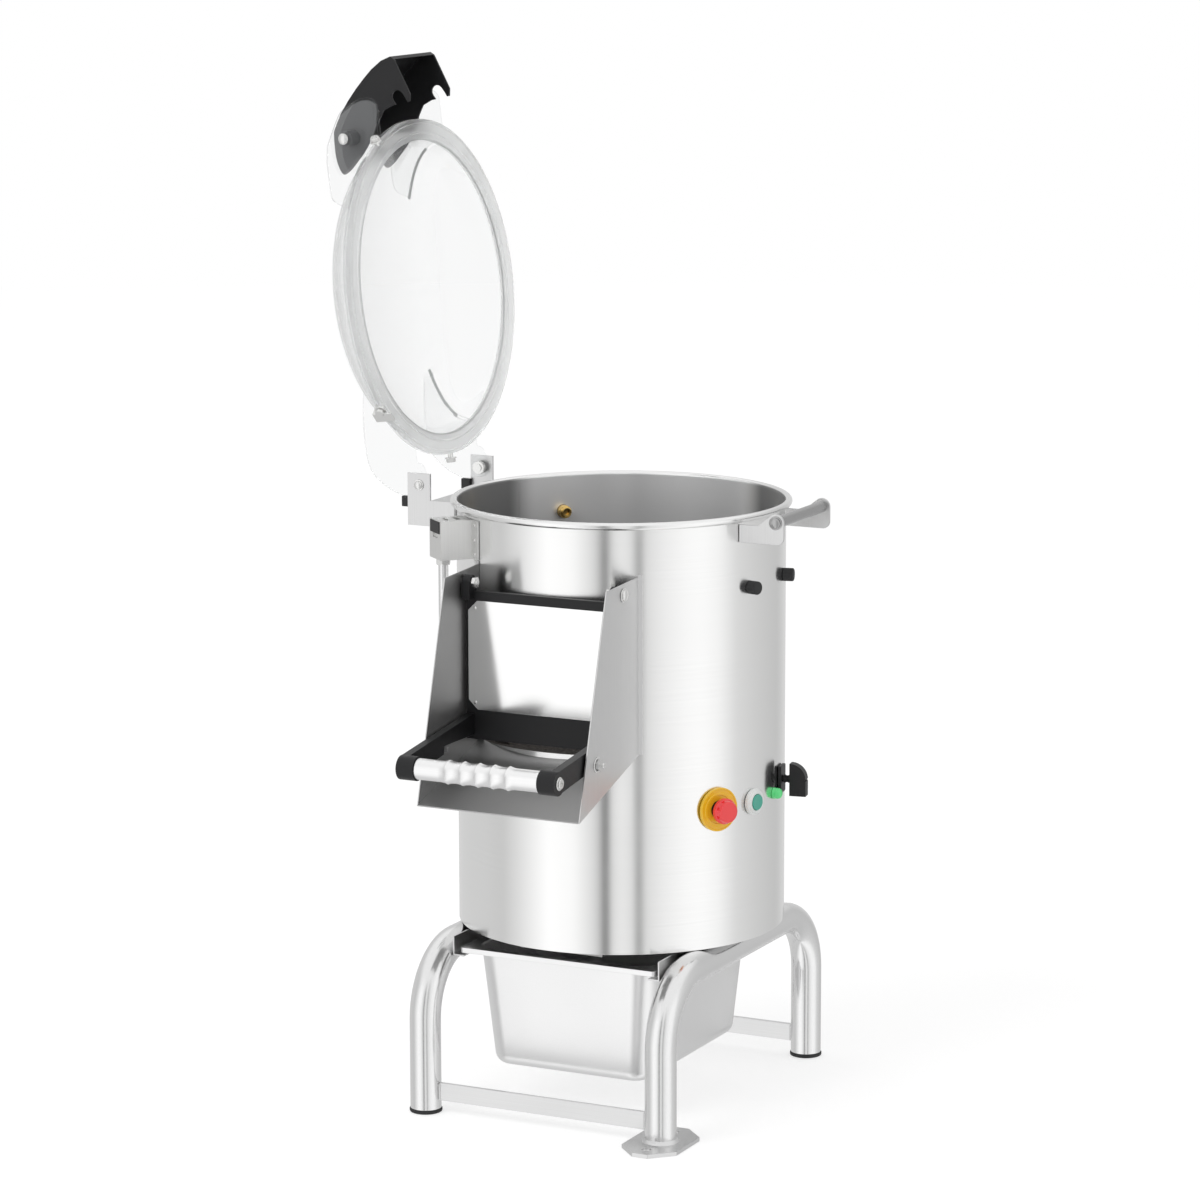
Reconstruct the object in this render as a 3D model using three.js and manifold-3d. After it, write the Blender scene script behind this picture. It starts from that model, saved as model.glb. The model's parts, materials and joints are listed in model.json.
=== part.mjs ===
// Electric potato peeler: a steel drum on a tube stand, with a hinged dome lid,
// a discharge chute with its door, a peel pan, and the disc drive inside the drum.
// Millimetres, +Z up. The chute faces -Y, the lid hinge is at -X, the latch at +X.
// Everything is drawn about the drum's axis, and the whole is moved at the end so that
// the origin is the middle of the footprint, on the floor.

import * as THREE from 'three';
import { mergeVertices } from 'three/addons/utils/BufferGeometryUtils.js';
import Module from 'manifold-3d';

const wasm = await Module();
wasm.setup();

// Clearances
const seatGap = 0.3;
const fitGap = 0.4;
const runGap = 1.5;
const overrun = 10;

// Drum casing
const drumRadius = 200;
const drumWall = 1.5;
const drumBottom = 214;
const rimHeight = 731;
const beadRadius = 4.5;
const drumSegments = 72;

// Tube stand
const legSpread = 158;
const frontLegReach = 18;
const rearLegReach = 7;
const frontLegY = -(drumRadius + frontLegReach);
const rearLegY = drumRadius + rearLegReach;
const tubeRadius = 19;
const tubeWall = 2;
const bendRadius = 80;
const footHeight = 5;
const capLip = 1;
const capPlug = 12;
const footPlateHalfWidth = 36;
const footPlateHalfLength = 58;
const footPlateCorner = 26;
const footBoltRadius = 5.5;
const footBoltOffset = 39;
const tieBottom = 16;
const tieHeight = 22;
const tieThickness = 5;

// Peel pan and its rails
const panWidth = 265;
const panLength = 325;
const panDepth = 150;
const panWall = 1.2;
const panFlange = 12.5;
const panCorner = 36;
const panTaper = 12;
const panFillet = 14;
const panSetback = 20;
const panFrontY = -(drumRadius - panSetback);
const panRimTop = 198;
const panLip = 7.7;
const railThickness = 2;
const railLip = 15;
const railFrontRun = 2;
const railBackRun = 6;
const railTopGap = 2;

// Chamber floor, base plate and peel spout
const floorBottom = 436;
const floorThickness = 3;
const baseLift = 2;
const baseThickness = 3;
const spoutHalfWidth = 55;
const spoutSetback = 35;
const spoutFrontY = -(drumRadius - spoutSetback);
const spoutDepth = 60;
const spoutWall = 1.5;
const spoutBottom = 204;

// Disc, shaft and bearings
const discEdgeGap = 10;
const discRadius = drumRadius - discEdgeGap;
const discBottom = 444;
const discThickness = 8;
const waveHeight = 10;
const waveHalfWidth = 22;
const waveCrest = 7;
const waveSink = 0.5;
const waveInset = 14;
const hubRadius = 30;
const hubHeight = 16;
const hubSkirt = 4;
const hubShoulderShare = 0.8;
const shaftRadius = 12;
const shaftBottom = 228;
const shaftSocket = 4;
const bearingRadius = 26;
const bearingWidth = 14;
const lowerBearingZ = 284;
const upperBearingZ = 404;
const housingWall = 6;
const housingBottom = 274;
const housingFlangeRadius = 58;
const housingFlange = 6;

// Belt drive and motor
const drivenShare = 0.3;
const motorPulleyShare = 0.1;
const motorPlaceShare = 0.56;
const motorShare = 0.3;
const drivenRadius = drumRadius * drivenShare;
const motorPulleyRadius = drumRadius * motorPulleyShare;
const pulleyBottom = 232;
const pulleyWidth = 18;
const grooveDepth = 8;
const beltWidth = 8;
const beltThickness = 6;
const beltClear = 0.6;
const motorY = drumRadius * motorPlaceShare;
const motorRadius = drumRadius * motorShare;
const motorHeight = 150;
const motorShaftRadius = 9;
const motorShaftReach = 36;
const motorChamfer = 8;
const bracketHeight = 42;
const bracketThickness = 5;
const bracketSideReach = 11;
const bracketEndInset = 2;
const bracketHalfWidth = motorRadius + bracketSideReach;
const bracketWall = 3;
const bracketFrontY = motorY - motorRadius + bracketEndInset;
const bracketBackY = motorY + motorRadius - bracketEndInset;
const bracketHole = 24;
const electricBoxSetback = 35;
const electricBoxWidth = 60;
const electricBoxFarX = -(drumRadius - electricBoxSetback);
const electricBoxNearX = electricBoxFarX + electricBoxWidth;
const electricBoxHalfLength = 50;
const electricBoxHeight = 150;

// Chute
const doorAxisZ = 656;
const chuteHalfWidth = 106.5;
const chuteSheet = 1.5;
const chuteTopBackRise = 18;
const chuteTopFrontRise = 11;
const chuteTopReach = 56;
const chuteLipReach = 128;
const chuteTopBackZ = doorAxisZ + chuteTopBackRise;
const chuteTopFrontZ = doorAxisZ + chuteTopFrontRise;
const chuteTopFrontY = -(drumRadius + chuteTopReach);
const chuteLipY = -(drumRadius + chuteLipReach);
const chuteLipZ = 407;
const chuteBackZ = 458;
const chuteFlangeAngle = 4.2;
const openingHalfWidth = 98;
const openingBottom = 456;
const openingTop = 640;

// Chute door, its hinge and its stops
const doorAxisReach = 12;
const doorTopDrop = 11;
const doorAxisY = -(drumRadius + doorAxisReach);
const doorHalfWidth = 102.8;
const doorBackGap = 1;
const doorBackY = -(drumRadius + doorBackGap);
const doorThickness = 8;
const doorBottom = 466;
const doorTop = doorAxisZ - doorTopDrop;
const doorEarRadius = 9;
const doorEarWidth = 11;
const facePlateHalfWidth = 99;
const facePlateBottom = 502;
const facePlateTop = 634;
const facePlateCorner = 12;
const facePlateThickness = 1.5;
const doorPinRadius = 4;
const boltHeadRadius = 7;
const boltHeadHeight = 5;
const stopReach = 81.7;
const stopY = -(drumRadius + stopReach);
const stopZ = 467.8;
const stopPinRadius = 3.8;
const stopPinReach = 19;

// Door handle
const gripReach = 171;
const gripY = -(drumRadius + gripReach);
const gripZ = 463;
const gripRadius = 13;
const gripRidge = 2;
const gripPitch = 20;
const gripRidges = 5;
const gripHalfLength = 80;
const gripCore = 5;
const armWidth = 10.5;
const armBossRadius = 14.5;
const armFrontLowZ = 450;
const armRearTopZ = 497;
const armFrontTopZ = 477;
const armStopLowZ = 462;

// Lid hinge
const hingeReach = 34;
const hingeX = -(drumRadius + hingeReach);
const hingeZ = 744.5;
const lidOpenAngle = 97;
const hingeEyeRadius = 12;
const hingePinRadius = 5;
const gussetThickness = 4;
const gussetY = 78;
const lugThickness = 3;
const lugReach = 15.5;
const lugTop = 14.5;
const lugDrop = 50;
const lugFootHeight = 34;
const lugFlangeAngle = 5;
const heelArcEnd = 300;
const stopBlockNear = 14;
const stopBlockFar = 26;
const stopBlockHeight = 13;
const bracketSheet = 2.5;

// Lid
const ringInset = 19;
const ringOverhang = 6;
const ringInner = drumRadius - ringInset;
const ringOuter = drumRadius + ringOverhang;
const ringHeight = 7;
const ringSeat = 0.4;
const domeFlange = 3;
const domeInset = 10;
const domeRadius = drumRadius - domeInset;
const domeHeight = 70;
const domeWall = 3;
const domePower = 2.2;
const domeSteps = 7;
const lidSegments = 64;
const actuatorAngle = -131;
const actuatorHalfWidth = 7;
const actuatorStandOff = 16;
const actuatorReach = drumRadius + actuatorStandOff;
const actuatorWall = 3;
const actuatorDrop = 12;
const gussetFootShare = 0.9;

// Latch
const latchPivotInset = 7.5;
const latchPivotDrop = 11.5;
const latchPivotX = drumRadius - latchPivotInset;
const latchPivotZ = domeHeight - latchPivotDrop;
const latchPinRadius = 3;
const leverHalfWidth = 52;
const leverWall = 3.2;
const cheekThickness = 2.5;
const cheekLength = 50;
const cheekBossRadius = 9;
const catchReach = 36;
const catchX = drumRadius + catchReach;
const catchDrop = 7;
const leverShare = 1.2;
const leverLength = leverShare * (latchPivotZ + catchDrop);
const catchBarRadius = 7;
const catchScrewRadius = 4.1;
const catchSlotGap = 0.9;
const catchWaySpan = 40;
const catchWayLean = 30;

// Catch bracket and bumpers
const catchPlateY = 66;
const catchPlateThickness = 3;
const catchPlateBottom = 700;
const catchPlateTop = 724;
const catchEyeRadius = 10.5;
const catchEyeStart = -50;
const catchEyeEnd = 150;
const bumperAngle = 14;
const bumperZ = 646;
const bumperRadius = 8;
const bumperLength = 13;

// Lid switch box and conduit
const switchAngle = -130.5;
const switchDepth = 42;
const switchReach = drumRadius + switchDepth;
const switchHalfWidth = 18.5;
const switchBottom = 675;
const switchHeight = 47;
const switchFlangeAngle = 3.6;
const switchFlangeLap = 1;
const windowHalfWidth = 8;
const windowHeight = 14;
const recessDepth = 2;
const slotHalfWidth = 9;
const conduitRadius = 6;
const conduitStandOff = 27;
const conduitReach = drumRadius + conduitStandOff;
const conduitSide = -12.5;
const conduitEntryZ = 415;
const conduitBend = 22;
const conduitNut = 10;
const conduitNutShare = 1.5;

// Controls on the right of the casing
const controlZ = 384;
const estopAngle = -29.1;
const estopPlateRadius = 26.5;
const estopPlateThickness = 4;
const barrelRadius = 11;
const barrelDepth = 30;
const barrelStand = 6;
const estopStem = 8;
const estopHeadRadius = 15.5;
const estopHeadHeight = 13;
const estopTravel = 5;
const headShoulderShare = 0.85;
const contactDepth = 34;
const contactHalfWidth = 15;
const contactSetback = 2;
const startAngle = -12.2;
const bezelRadius = 16;
const bezelHeight = 7;
const buttonRadius = 9.5;
const buttonProud = 9;
const buttonTravel = 3;
const lampAngle = 2.8;
const lampRadius = 7;
const lampBarrel = 6;
const lampHeight = 11;
const lampShoulderShare = 0.8;
const knobAngle = 10;
const knobZ = 397;
const knobPlateHalf = 17;
const knobPlateThickness = 5;
const knobNeckRadius = 5;
const knobNeckHeight = 15;
const knobHandleHalfLength = 20;
const knobHandleHalfWidth = 6.5;
const knobHandleHeight = 13;
const knobShaftRadius = 4;

// Water nozzle and cable gland
const nozzleAngle = 137.7;
const nozzleZ = 687;
const nozzleRadius = 8;
const nozzleFlangeRadius = 11;
const nozzleInside = 14;
const nozzleOutside = 34;
const nozzleTipShare = 0.8;
const glandAngle = 118;
const glandZ = 246;
const glandRadius = 10;
const glandBarrel = 7;
const glandLength = 22;

// Outlines chosen by hand, as shares of the sizes that each one follows
const leverOutlineShares = [
  [-0.261, 0.356], [-0.045, 0.363], [0.134, 0.331], [0.375, 0.21], [0.579, 0.038],
  [0.744, -0.121], [0.884, -0.274], [1.011, -0.426], [1.126, -0.611], [1.177, -0.782],
];
const leverFootShares = [
  [1.126, -0.846], [0.579, -1.056], [0.464, -1.037],
];
const leverInnerShares = [
  [0.426, -0.706], [0.363, -0.553], [0.146, -0.413], [-0.057, -0.261],
  [-0.21, -0.108], [-0.299, 0.045], [-0.337, 0.21],
];
const cheekOutlineShares = [
  [0.19, 0.536], [-0.07, 0.56], [-0.43, 0.56], [-0.71, 0.5], [-0.87, 0.4],
  [-0.83, 0.26], [-0.73, 0.12], [-0.59, -0.03], [-0.41, -0.22], [-0.13, -0.45],
  [0.25, -0.66], [0.67, -0.73], [0.82, -0.61], [0.87, -0.41], [0.83, -0.17],
  [0.71, 0.06], [0.55, 0.31],
];
const latchGussetTopShares = [
  [0.547, 0.697], [0.584, 0.872], [0.608, 0.984], [0.637, 1.052], [0.676, 1.073],
  [0.874, 1.073], [0.976, 1.034],
];
const latchGussetNoseShares = [
  [0.134, 0.191], [0.388, 0.032], [0.496, -0.121], [0.564, -0.274],
  [0.595, -0.426], [0.573, -0.56], [0.515, -0.623],
];
const latchGussetEndShare = 0.45;
const hingeGussetShares = [
  [-0.56, 0.62], [-0.62, 0.92], [-0.9, 0.99], [-1.06, 0.975], [-1.16, 0.88], [-1.25, 0.64],
];

// Finishes
const finishes = {
  brushed: [0xc9ccce, 0.32, 1],
  polished: [0xd8dadc, 0.16, 1],
  tube: [0xcfd2d4, 0.24, 1],
  zinc: [0xb9bcbe, 0.4, 1],
  black: [0x1b1b1c, 0.5, 0],
  grey: [0x6a6b6d, 0.5, 0.2],
  rubber: [0x161617, 0.85, 0],
  seal: [0xd5d6d6, 0.55, 0],
  clear: [0xf2f4f5, 0.12, 0],
  aluminium: [0xdcdddf, 0.3, 1],
  brass: [0xc9a557, 0.35, 1],
  yellow: [0xf2cf1f, 0.4, 0],
  red: [0xc9201c, 0.35, 0],
  green: [0x2e8b45, 0.35, 0],
  grit: [0x5c5650, 0.95, 0],
  motor: [0x3d4247, 0.55, 0.3],
  brightSteel: [0xe4e6e7, 0.2, 1],
};

// Small geometry kit

const radians = (degrees) => (degrees * Math.PI) / 180;
const cosine = (degrees) => Math.cos(radians(degrees));
const sine = (degrees) => Math.sin(radians(degrees));

// Triangles with two corners on one point, as at the pole of a lathe, are left out.
function soundTriangles(index) {
  const kept = [];
  for (let i = 0; i < index.length; i += 3) {
    const [a, b, c] = [index[i], index[i + 1], index[i + 2]];
    if (a !== b && b !== c && c !== a) kept.push(a, b, c);
  }
  return kept;
}

function signedVolume(points, triangles) {
  const [a, b, c] = [new THREE.Vector3(), new THREE.Vector3(), new THREE.Vector3()];
  let volume = 0;
  for (let i = 0; i < triangles.length; i += 3) {
    a.fromArray(points, triangles[i] * 3);
    b.fromArray(points, triangles[i + 1] * 3);
    c.fromArray(points, triangles[i + 2] * 3);
    volume += a.dot(b.cross(c)) / 6;
  }
  return volume;
}

function solidOf(geometry) {
  const bare = geometry.clone();
  bare.deleteAttribute('normal');
  bare.deleteAttribute('uv');
  const merged = mergeVertices(bare);
  const points = merged.attributes.position.array;
  let triangles = soundTriangles(merged.index.array);
  if (signedVolume(points, triangles) < 0) triangles = triangles.reverse();
  const vertProperties = Float32Array.from(points);
  const triVerts = Uint32Array.from(triangles);
  return new wasm.Manifold(new wasm.Mesh({ numProp: 3, vertProperties, triVerts }));
}

// Turns a geometry so that its own Z axis lies along the named axis.
function turnedTo(axis, geometry) {
  const [x, y, z] = [new THREE.Vector3(1, 0, 0), new THREE.Vector3(0, 1, 0), new THREE.Vector3(0, 0, 1)];
  if (axis === 'x') geometry.applyMatrix4(new THREE.Matrix4().makeBasis(y, z, x));
  if (axis === 'y') geometry.applyMatrix4(new THREE.Matrix4().makeBasis(z, x, y));
  return geometry;
}

function block([x0, x1], [y0, y1], [z0, z1]) {
  const geometry = new THREE.BoxGeometry(x1 - x0, y1 - y0, z1 - z0);
  geometry.translate((x0 + x1) / 2, (y0 + y1) / 2, (z0 + z1) / 2);
  return solidOf(geometry);
}

// A body of revolution. The profile is a list of [radius, place along the axis].
function spun(profile, segments, axis = 'z', centre = [0, 0, 0]) {
  const points = profile.map(([radius, height]) => new THREE.Vector2(radius, height));
  const geometry = new THREE.LatheGeometry(points, segments);
  geometry.rotateX(Math.PI / 2);
  turnedTo(axis, geometry);
  geometry.translate(...centre);
  return solidOf(geometry);
}

function rod(radius, from, to, segments, axis = 'z', centre = [0, 0, 0]) {
  return spun([[0, from], [radius, from], [radius, to], [0, to]], segments, axis, centre);
}

function sleeve(inner, outer, from, to, segments, axis = 'z', centre = [0, 0, 0]) {
  const profile = [[inner, from], [outer, from], [outer, to], [inner, to], [inner, from]];
  return spun(profile, segments, axis, centre);
}

// An outline pushed along an axis. Outline points are [y, z], [x, z] or [x, y]
// for the axes x, y and z.
function prism(axis, outline, from, to, hole = null) {
  const place = ([a, b]) => (axis === 'y' ? new THREE.Vector2(b, a) : new THREE.Vector2(a, b));
  const shape = new THREE.Shape(outline.map(place));
  if (hole) shape.holes.push(new THREE.Path(hole.map(place)));
  const geometry = new THREE.ExtrudeGeometry(shape, { depth: to - from, bevelEnabled: false });
  geometry.translate(0, 0, from);
  return solidOf(turnedTo(axis, geometry));
}

function arc([cx, cy], radius, start, end, steps) {
  const points = [];
  for (let i = 0; i <= steps; i += 1) {
    const angle = start + ((end - start) * i) / steps;
    points.push([cx + radius * cosine(angle), cy + radius * sine(angle)]);
  }
  return points;
}

function roundedRectangle(halfX, halfY, radius, steps) {
  const [cx, cy] = [halfX - radius, halfY - radius];
  return [
    ...arc([cx, cy], radius, 0, 90, steps),
    ...arc([-cx, cy], radius, 90, 180, steps),
    ...arc([-cx, -cy], radius, 180, 270, steps),
    ...arc([cx, -cy], radius, 270, 360, steps),
  ];
}

function chamferedRectangle([x0, x1], [y0, y1], corner) {
  return [
    [x0 + corner, y0], [x1 - corner, y0], [x1, y0 + corner], [x1, y1 - corner],
    [x1 - corner, y1], [x0 + corner, y1], [x0, y1 - corner], [x0, y0 + corner],
  ];
}

// A solid through a stack of rings with equal point counts, closed flat at both ends.
function loft(rings) {
  const count = rings[0].points.length;
  const positions = [];
  for (const ring of rings) {
    for (const [x, y] of ring.points) positions.push(x, y, ring.z);
  }
  const index = [];
  for (let level = 0; level + 1 < rings.length; level += 1) {
    for (let i = 0; i < count; i += 1) {
      const next = (i + 1) % count;
      const [a, b] = [level * count + i, level * count + next];
      index.push(a, b, b + count, a, b + count, a + count);
    }
  }
  const top = (rings.length - 1) * count;
  for (let i = 1; i + 1 < count; i += 1) {
    index.push(0, i + 1, i, top, top + i, top + i + 1);
  }
  const geometry = new THREE.BufferGeometry();
  geometry.setAttribute('position', new THREE.Float32BufferAttribute(positions, 3));
  geometry.setIndex(index);
  return solidOf(geometry);
}

// A path through chosen points, sampled only at those points, so that straight
// runs cost one step and bends keep their own.
class StationPath extends THREE.Curve {
  constructor(stations) {
    super();
    this.stations = stations;
  }

  nearest(share) {
    return Math.round(share * (this.stations.length - 1));
  }

  getPoint(share, target = new THREE.Vector3()) {
    return target.copy(this.stations[this.nearest(share)]);
  }

  getPointAt(share, target) {
    return this.getPoint(share, target);
  }

  getTangentAt(share, target = new THREE.Vector3()) {
    const here = this.nearest(share);
    const before = this.stations[Math.max(here - 1, 0)];
    const after = this.stations[Math.min(here + 1, this.stations.length - 1)];
    return target.copy(after).sub(before).normalize();
  }
}

// Stations of a flat path with round corners. Corners are [across, up] pairs, and
// the place function sets them in space.
function roundedRoute(corners, radius, steps, place) {
  const stations = [place(corners[0])];
  for (let i = 1; i + 1 < corners.length; i += 1) {
    const corner = new THREE.Vector2(...corners[i]);
    const back = new THREE.Vector2(...corners[i - 1]).sub(corner).normalize();
    const ahead = new THREE.Vector2(...corners[i + 1]).sub(corner).normalize();
    const centre = corner.clone().addScaledVector(back, radius).addScaledVector(ahead, radius);
    for (let step = 0; step <= steps; step += 1) {
      const turn = radians(90 * (step / steps));
      const point = centre.clone();
      point.addScaledVector(ahead, -radius * Math.cos(turn));
      point.addScaledVector(back, -radius * Math.sin(turn));
      stations.push(place([point.x, point.y]));
    }
  }
  stations.push(place(corners[corners.length - 1]));
  return stations;
}

function circleOutline(radius, segments) {
  return arc([0, 0], radius, 0, 360, segments).slice(0, segments);
}

function tubeAlong(stations, outer, inner, segments) {
  const vectors = (points) => points.map(([x, y]) => new THREE.Vector2(x, y));
  const shape = new THREE.Shape(vectors(circleOutline(outer, segments)));
  if (inner > 0) shape.holes.push(new THREE.Path(vectors(circleOutline(inner, segments))));
  const settings = {
    steps: stations.length - 1,
    extrudePath: new StationPath(stations),
    bevelEnabled: false,
  };
  return solidOf(new THREE.ExtrudeGeometry(shape, settings));
}

// A sheet that follows the drum's curve between two angles.
function drumSheet(inner, outer, fromAngle, toAngle, z0, z1, steps) {
  const outline = [
    ...arc([0, 0], outer, fromAngle, toAngle, steps),
    ...arc([0, 0], inner, toAngle, fromAngle, steps),
  ];
  return prism('z', outline, z0, z1);
}

function unionOf(solids) {
  return solids.reduce((all, one) => all.add(one));
}

function cutBy(solid, tools) {
  return tools.reduce((rest, tool) => rest.subtract(tool), solid);
}

function geometryOf(solid) {
  const mesh = solid.getMesh();
  const geometry = new THREE.BufferGeometry();
  geometry.setAttribute('position', new THREE.BufferAttribute(Float32Array.from(mesh.vertProperties), 3));
  geometry.setIndex(new THREE.BufferAttribute(Uint32Array.from(mesh.triVerts), 1));
  geometry.computeVertexNormals();
  return geometry;
}

function addPiece(parent, name, solid, finish) {
  const [color, roughness, metalness] = finishes[finish];
  const material = new THREE.MeshStandardMaterial({ color, roughness, metalness });
  if (finish === 'clear') {
    material.transparent = true;
    material.opacity = 0.35;
  }
  const mesh = new THREE.Mesh(geometryOf(solid), material);
  mesh.name = name;
  parent.add(mesh);
}

// A group whose own X axis points out of the drum at an angle round it.
function radialGroup(parent, angle) {
  const group = new THREE.Group();
  group.rotation.z = radians(angle);
  parent.add(group);
  return group;
}

// A round hole through the drum wall at an angle and a height.
function wallHole(angle, z, radius) {
  const geometry = new THREE.CylinderGeometry(radius, radius, 4 * overrun, 20);
  geometry.rotateZ(Math.PI / 2);
  geometry.translate(drumRadius, 0, z);
  geometry.rotateZ(radians(angle));
  return solidOf(geometry);
}

// Derived places
const sides = [['left', -1], ['right', 1]];
const drumInner = drumRadius - drumWall;
const frameTop = drumBottom - seatGap - tubeRadius;
const legBottom = footHeight + seatGap;
const railOuter = legSpread - tubeRadius - seatGap;
const panLipBottom = panRimTop - panLip;
const railLipTop = panLipBottom - seatGap;
const panBackY = panFrontY + panLength;
const baseBottom = drumBottom + baseLift;
const baseTop = baseBottom + baseThickness;
const plateRadius = drumInner - fitGap;
const wallFace = drumRadius + fitGap;
const beadTop = rimHeight + beadRadius;
const ringUnder = beadTop + ringSeat;
const pivotLift = hingeZ - ringUnder;
const spoutBackY = spoutFrontY + spoutDepth;
const between = (low, high) => (low < high ? [low, high] : [high, low]);

// Stand

function legFrame(side) {
  const corners = [
    [frontLegY, legBottom], [frontLegY, frameTop], [rearLegY, frameTop], [rearLegY, legBottom],
  ];
  const place = ([y, z]) => new THREE.Vector3(side * legSpread, y, z);
  return tubeAlong(roundedRoute(corners, bendRadius, 6, place), tubeRadius, tubeRadius - tubeWall, 20);
}

function tieBar(y) {
  const end = legSpread - tubeRadius - seatGap;
  const half = tieThickness / 2;
  return block([-end, end], [y - half, y + half], [tieBottom, tieBottom + tieHeight]);
}

function footCap(x, y) {
  const plugRadius = tubeRadius - tubeWall - fitGap;
  const profile = [
    [0, 0], [tubeRadius + capLip, 0], [tubeRadius + capLip, footHeight],
    [plugRadius, footHeight], [plugRadius, footHeight + capPlug], [0, footHeight + capPlug],
  ];
  return spun(profile, 20, 'z', [x, y, 0]);
}

function footPlate(x, y) {
  const outline = chamferedRectangle(
    [x - footPlateHalfWidth, x + footPlateHalfWidth],
    [y - footPlateHalfLength, y + footPlateHalfLength],
    footPlateCorner,
  );
  const bolts = [-footBoltOffset, footBoltOffset].map(
    (offset) => rod(footBoltRadius, -overrun, overrun, 12, 'z', [x, y + offset, 0]),
  );
  return cutBy(prism('z', outline, 0, footHeight), bolts);
}

function addStand(parent) {
  for (const [name, side] of sides) addPiece(parent, `${name}_leg_frame`, legFrame(side), 'tube');
  addPiece(parent, 'front_tie_bar', tieBar(frontLegY), 'brushed');
  addPiece(parent, 'rear_tie_bar', tieBar(rearLegY), 'brushed');
  addPiece(parent, 'front_left_foot_cap', footCap(-legSpread, frontLegY), 'rubber');
  addPiece(parent, 'rear_right_foot_cap', footCap(legSpread, rearLegY), 'rubber');
  addPiece(parent, 'front_right_foot_plate', footPlate(legSpread, frontLegY), 'brushed');
  addPiece(parent, 'rear_left_foot_plate', footPlate(-legSpread, rearLegY), 'brushed');
}

// Peel pan and rails

function panRail(side) {
  const spanY = [panFrontY - railFrontRun, panBackY + railBackRun];
  const lipBottom = railLipTop - railThickness;
  const webX = between(side * (railOuter - railThickness), side * railOuter);
  const lipX = between(side * (railOuter - railLip), side * railOuter);
  const web = block(webX, spanY, [lipBottom, drumBottom - railTopGap]);
  return web.add(block(lipX, spanY, [lipBottom, railLipTop]));
}

function panBody(wall, top) {
  const bottom = panRimTop - panDepth + wall;
  const ring = (z, inset) => ({
    z,
    points: roundedRectangle(
      panWidth / 2 - panFlange - wall - inset,
      panLength / 2 - panFlange - wall - inset,
      panCorner - wall,
      4,
    ),
  });
  const rings = [];
  for (const share of [0, 1 / 3, 2 / 3, 1]) {
    const angle = 90 * share;
    rings.push(ring(bottom + panFillet * (1 - cosine(angle)), panTaper + panFillet * (1 - sine(angle))));
  }
  rings.push(ring(top, 0));
  return loft(rings);
}

function peelPan() {
  const outer = panBody(0, panRimTop);
  const inner = panBody(panWall, panRimTop).add(panBody(panWall, panRimTop + overrun));
  const rimCorner = panCorner + panFlange / 2;
  const edge = roundedRectangle(panWidth / 2, panLength / 2, rimCorner, 4);
  const pocket = roundedRectangle(
    panWidth / 2 - panWall, panLength / 2 - panWall, rimCorner - panWall, 4,
  );
  const rim = prism('z', edge, panLipBottom, panRimTop)
    .subtract(prism('z', pocket, panLipBottom - overrun, panRimTop - panWall));
  return rim.add(outer).subtract(inner);
}

function addPan(parent) {
  for (const [name, side] of sides) addPiece(parent, `${name}_pan_rail`, panRail(side), 'brushed');
  const group = new THREE.Group();
  group.position.y = panFrontY + panLength / 2;
  parent.add(group);
  addPiece(group, 'peel_pan', peelPan(), 'brushed');
}

// Drum casing and what closes it

function drumCasing() {
  const beadCentre = drumInner + beadRadius;
  const meet = (Math.acos((drumRadius - beadCentre) / beadRadius) * 180) / Math.PI;
  const bead = arc([beadCentre, rimHeight], beadRadius, -meet, 180, 8);
  const profile = [[drumInner, drumBottom], [drumRadius, drumBottom], ...bead, [drumInner, drumBottom]];
  const opening = block(
    [-openingHalfWidth, openingHalfWidth],
    [-drumRadius - overrun, -drumRadius / 2],
    [openingBottom, openingTop],
  );
  const holes = [
    wallHole(estopAngle, controlZ, barrelRadius + fitGap),
    wallHole(startAngle, controlZ, barrelRadius + fitGap),
    wallHole(lampAngle, controlZ, lampBarrel + fitGap),
    wallHole(knobAngle, knobZ, knobShaftRadius + fitGap),
    wallHole(nozzleAngle, nozzleZ, nozzleRadius + fitGap),
    wallHole(glandAngle, glandZ, glandBarrel + fitGap),
  ];
  return cutBy(spun(profile, drumSegments), [opening, ...holes]);
}

function spoutBox(wall, z0, z1) {
  const half = spoutHalfWidth - wall;
  return block([-half, half], [spoutFrontY + wall, spoutBackY - wall], [z0, z1]);
}

// The chamber floor with the peel spout welded under it.
function chamberFloor() {
  const disc = rod(plateRadius, floorBottom, floorBottom + floorThickness, drumSegments);
  const shaftHole = rod(shaftRadius + runGap, 0, floorBottom + overrun, 24);
  const welded = disc.add(spoutBox(0, spoutBottom, floorBottom + floorThickness / 2));
  return cutBy(welded, [shaftHole, spoutBox(spoutWall, 0, floorBottom + overrun)]);
}

function basePlate() {
  const disc = rod(plateRadius, baseBottom, baseTop, drumSegments);
  return disc.subtract(spoutBox(-fitGap, 0, baseTop + overrun));
}

function addDrum(parent) {
  addPiece(parent, 'drum_casing', drumCasing(), 'polished');
  addPiece(parent, 'chamber_floor', chamberFloor(), 'brushed');
  addPiece(parent, 'base_plate', basePlate(), 'brushed');
}

// Disc drive

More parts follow.
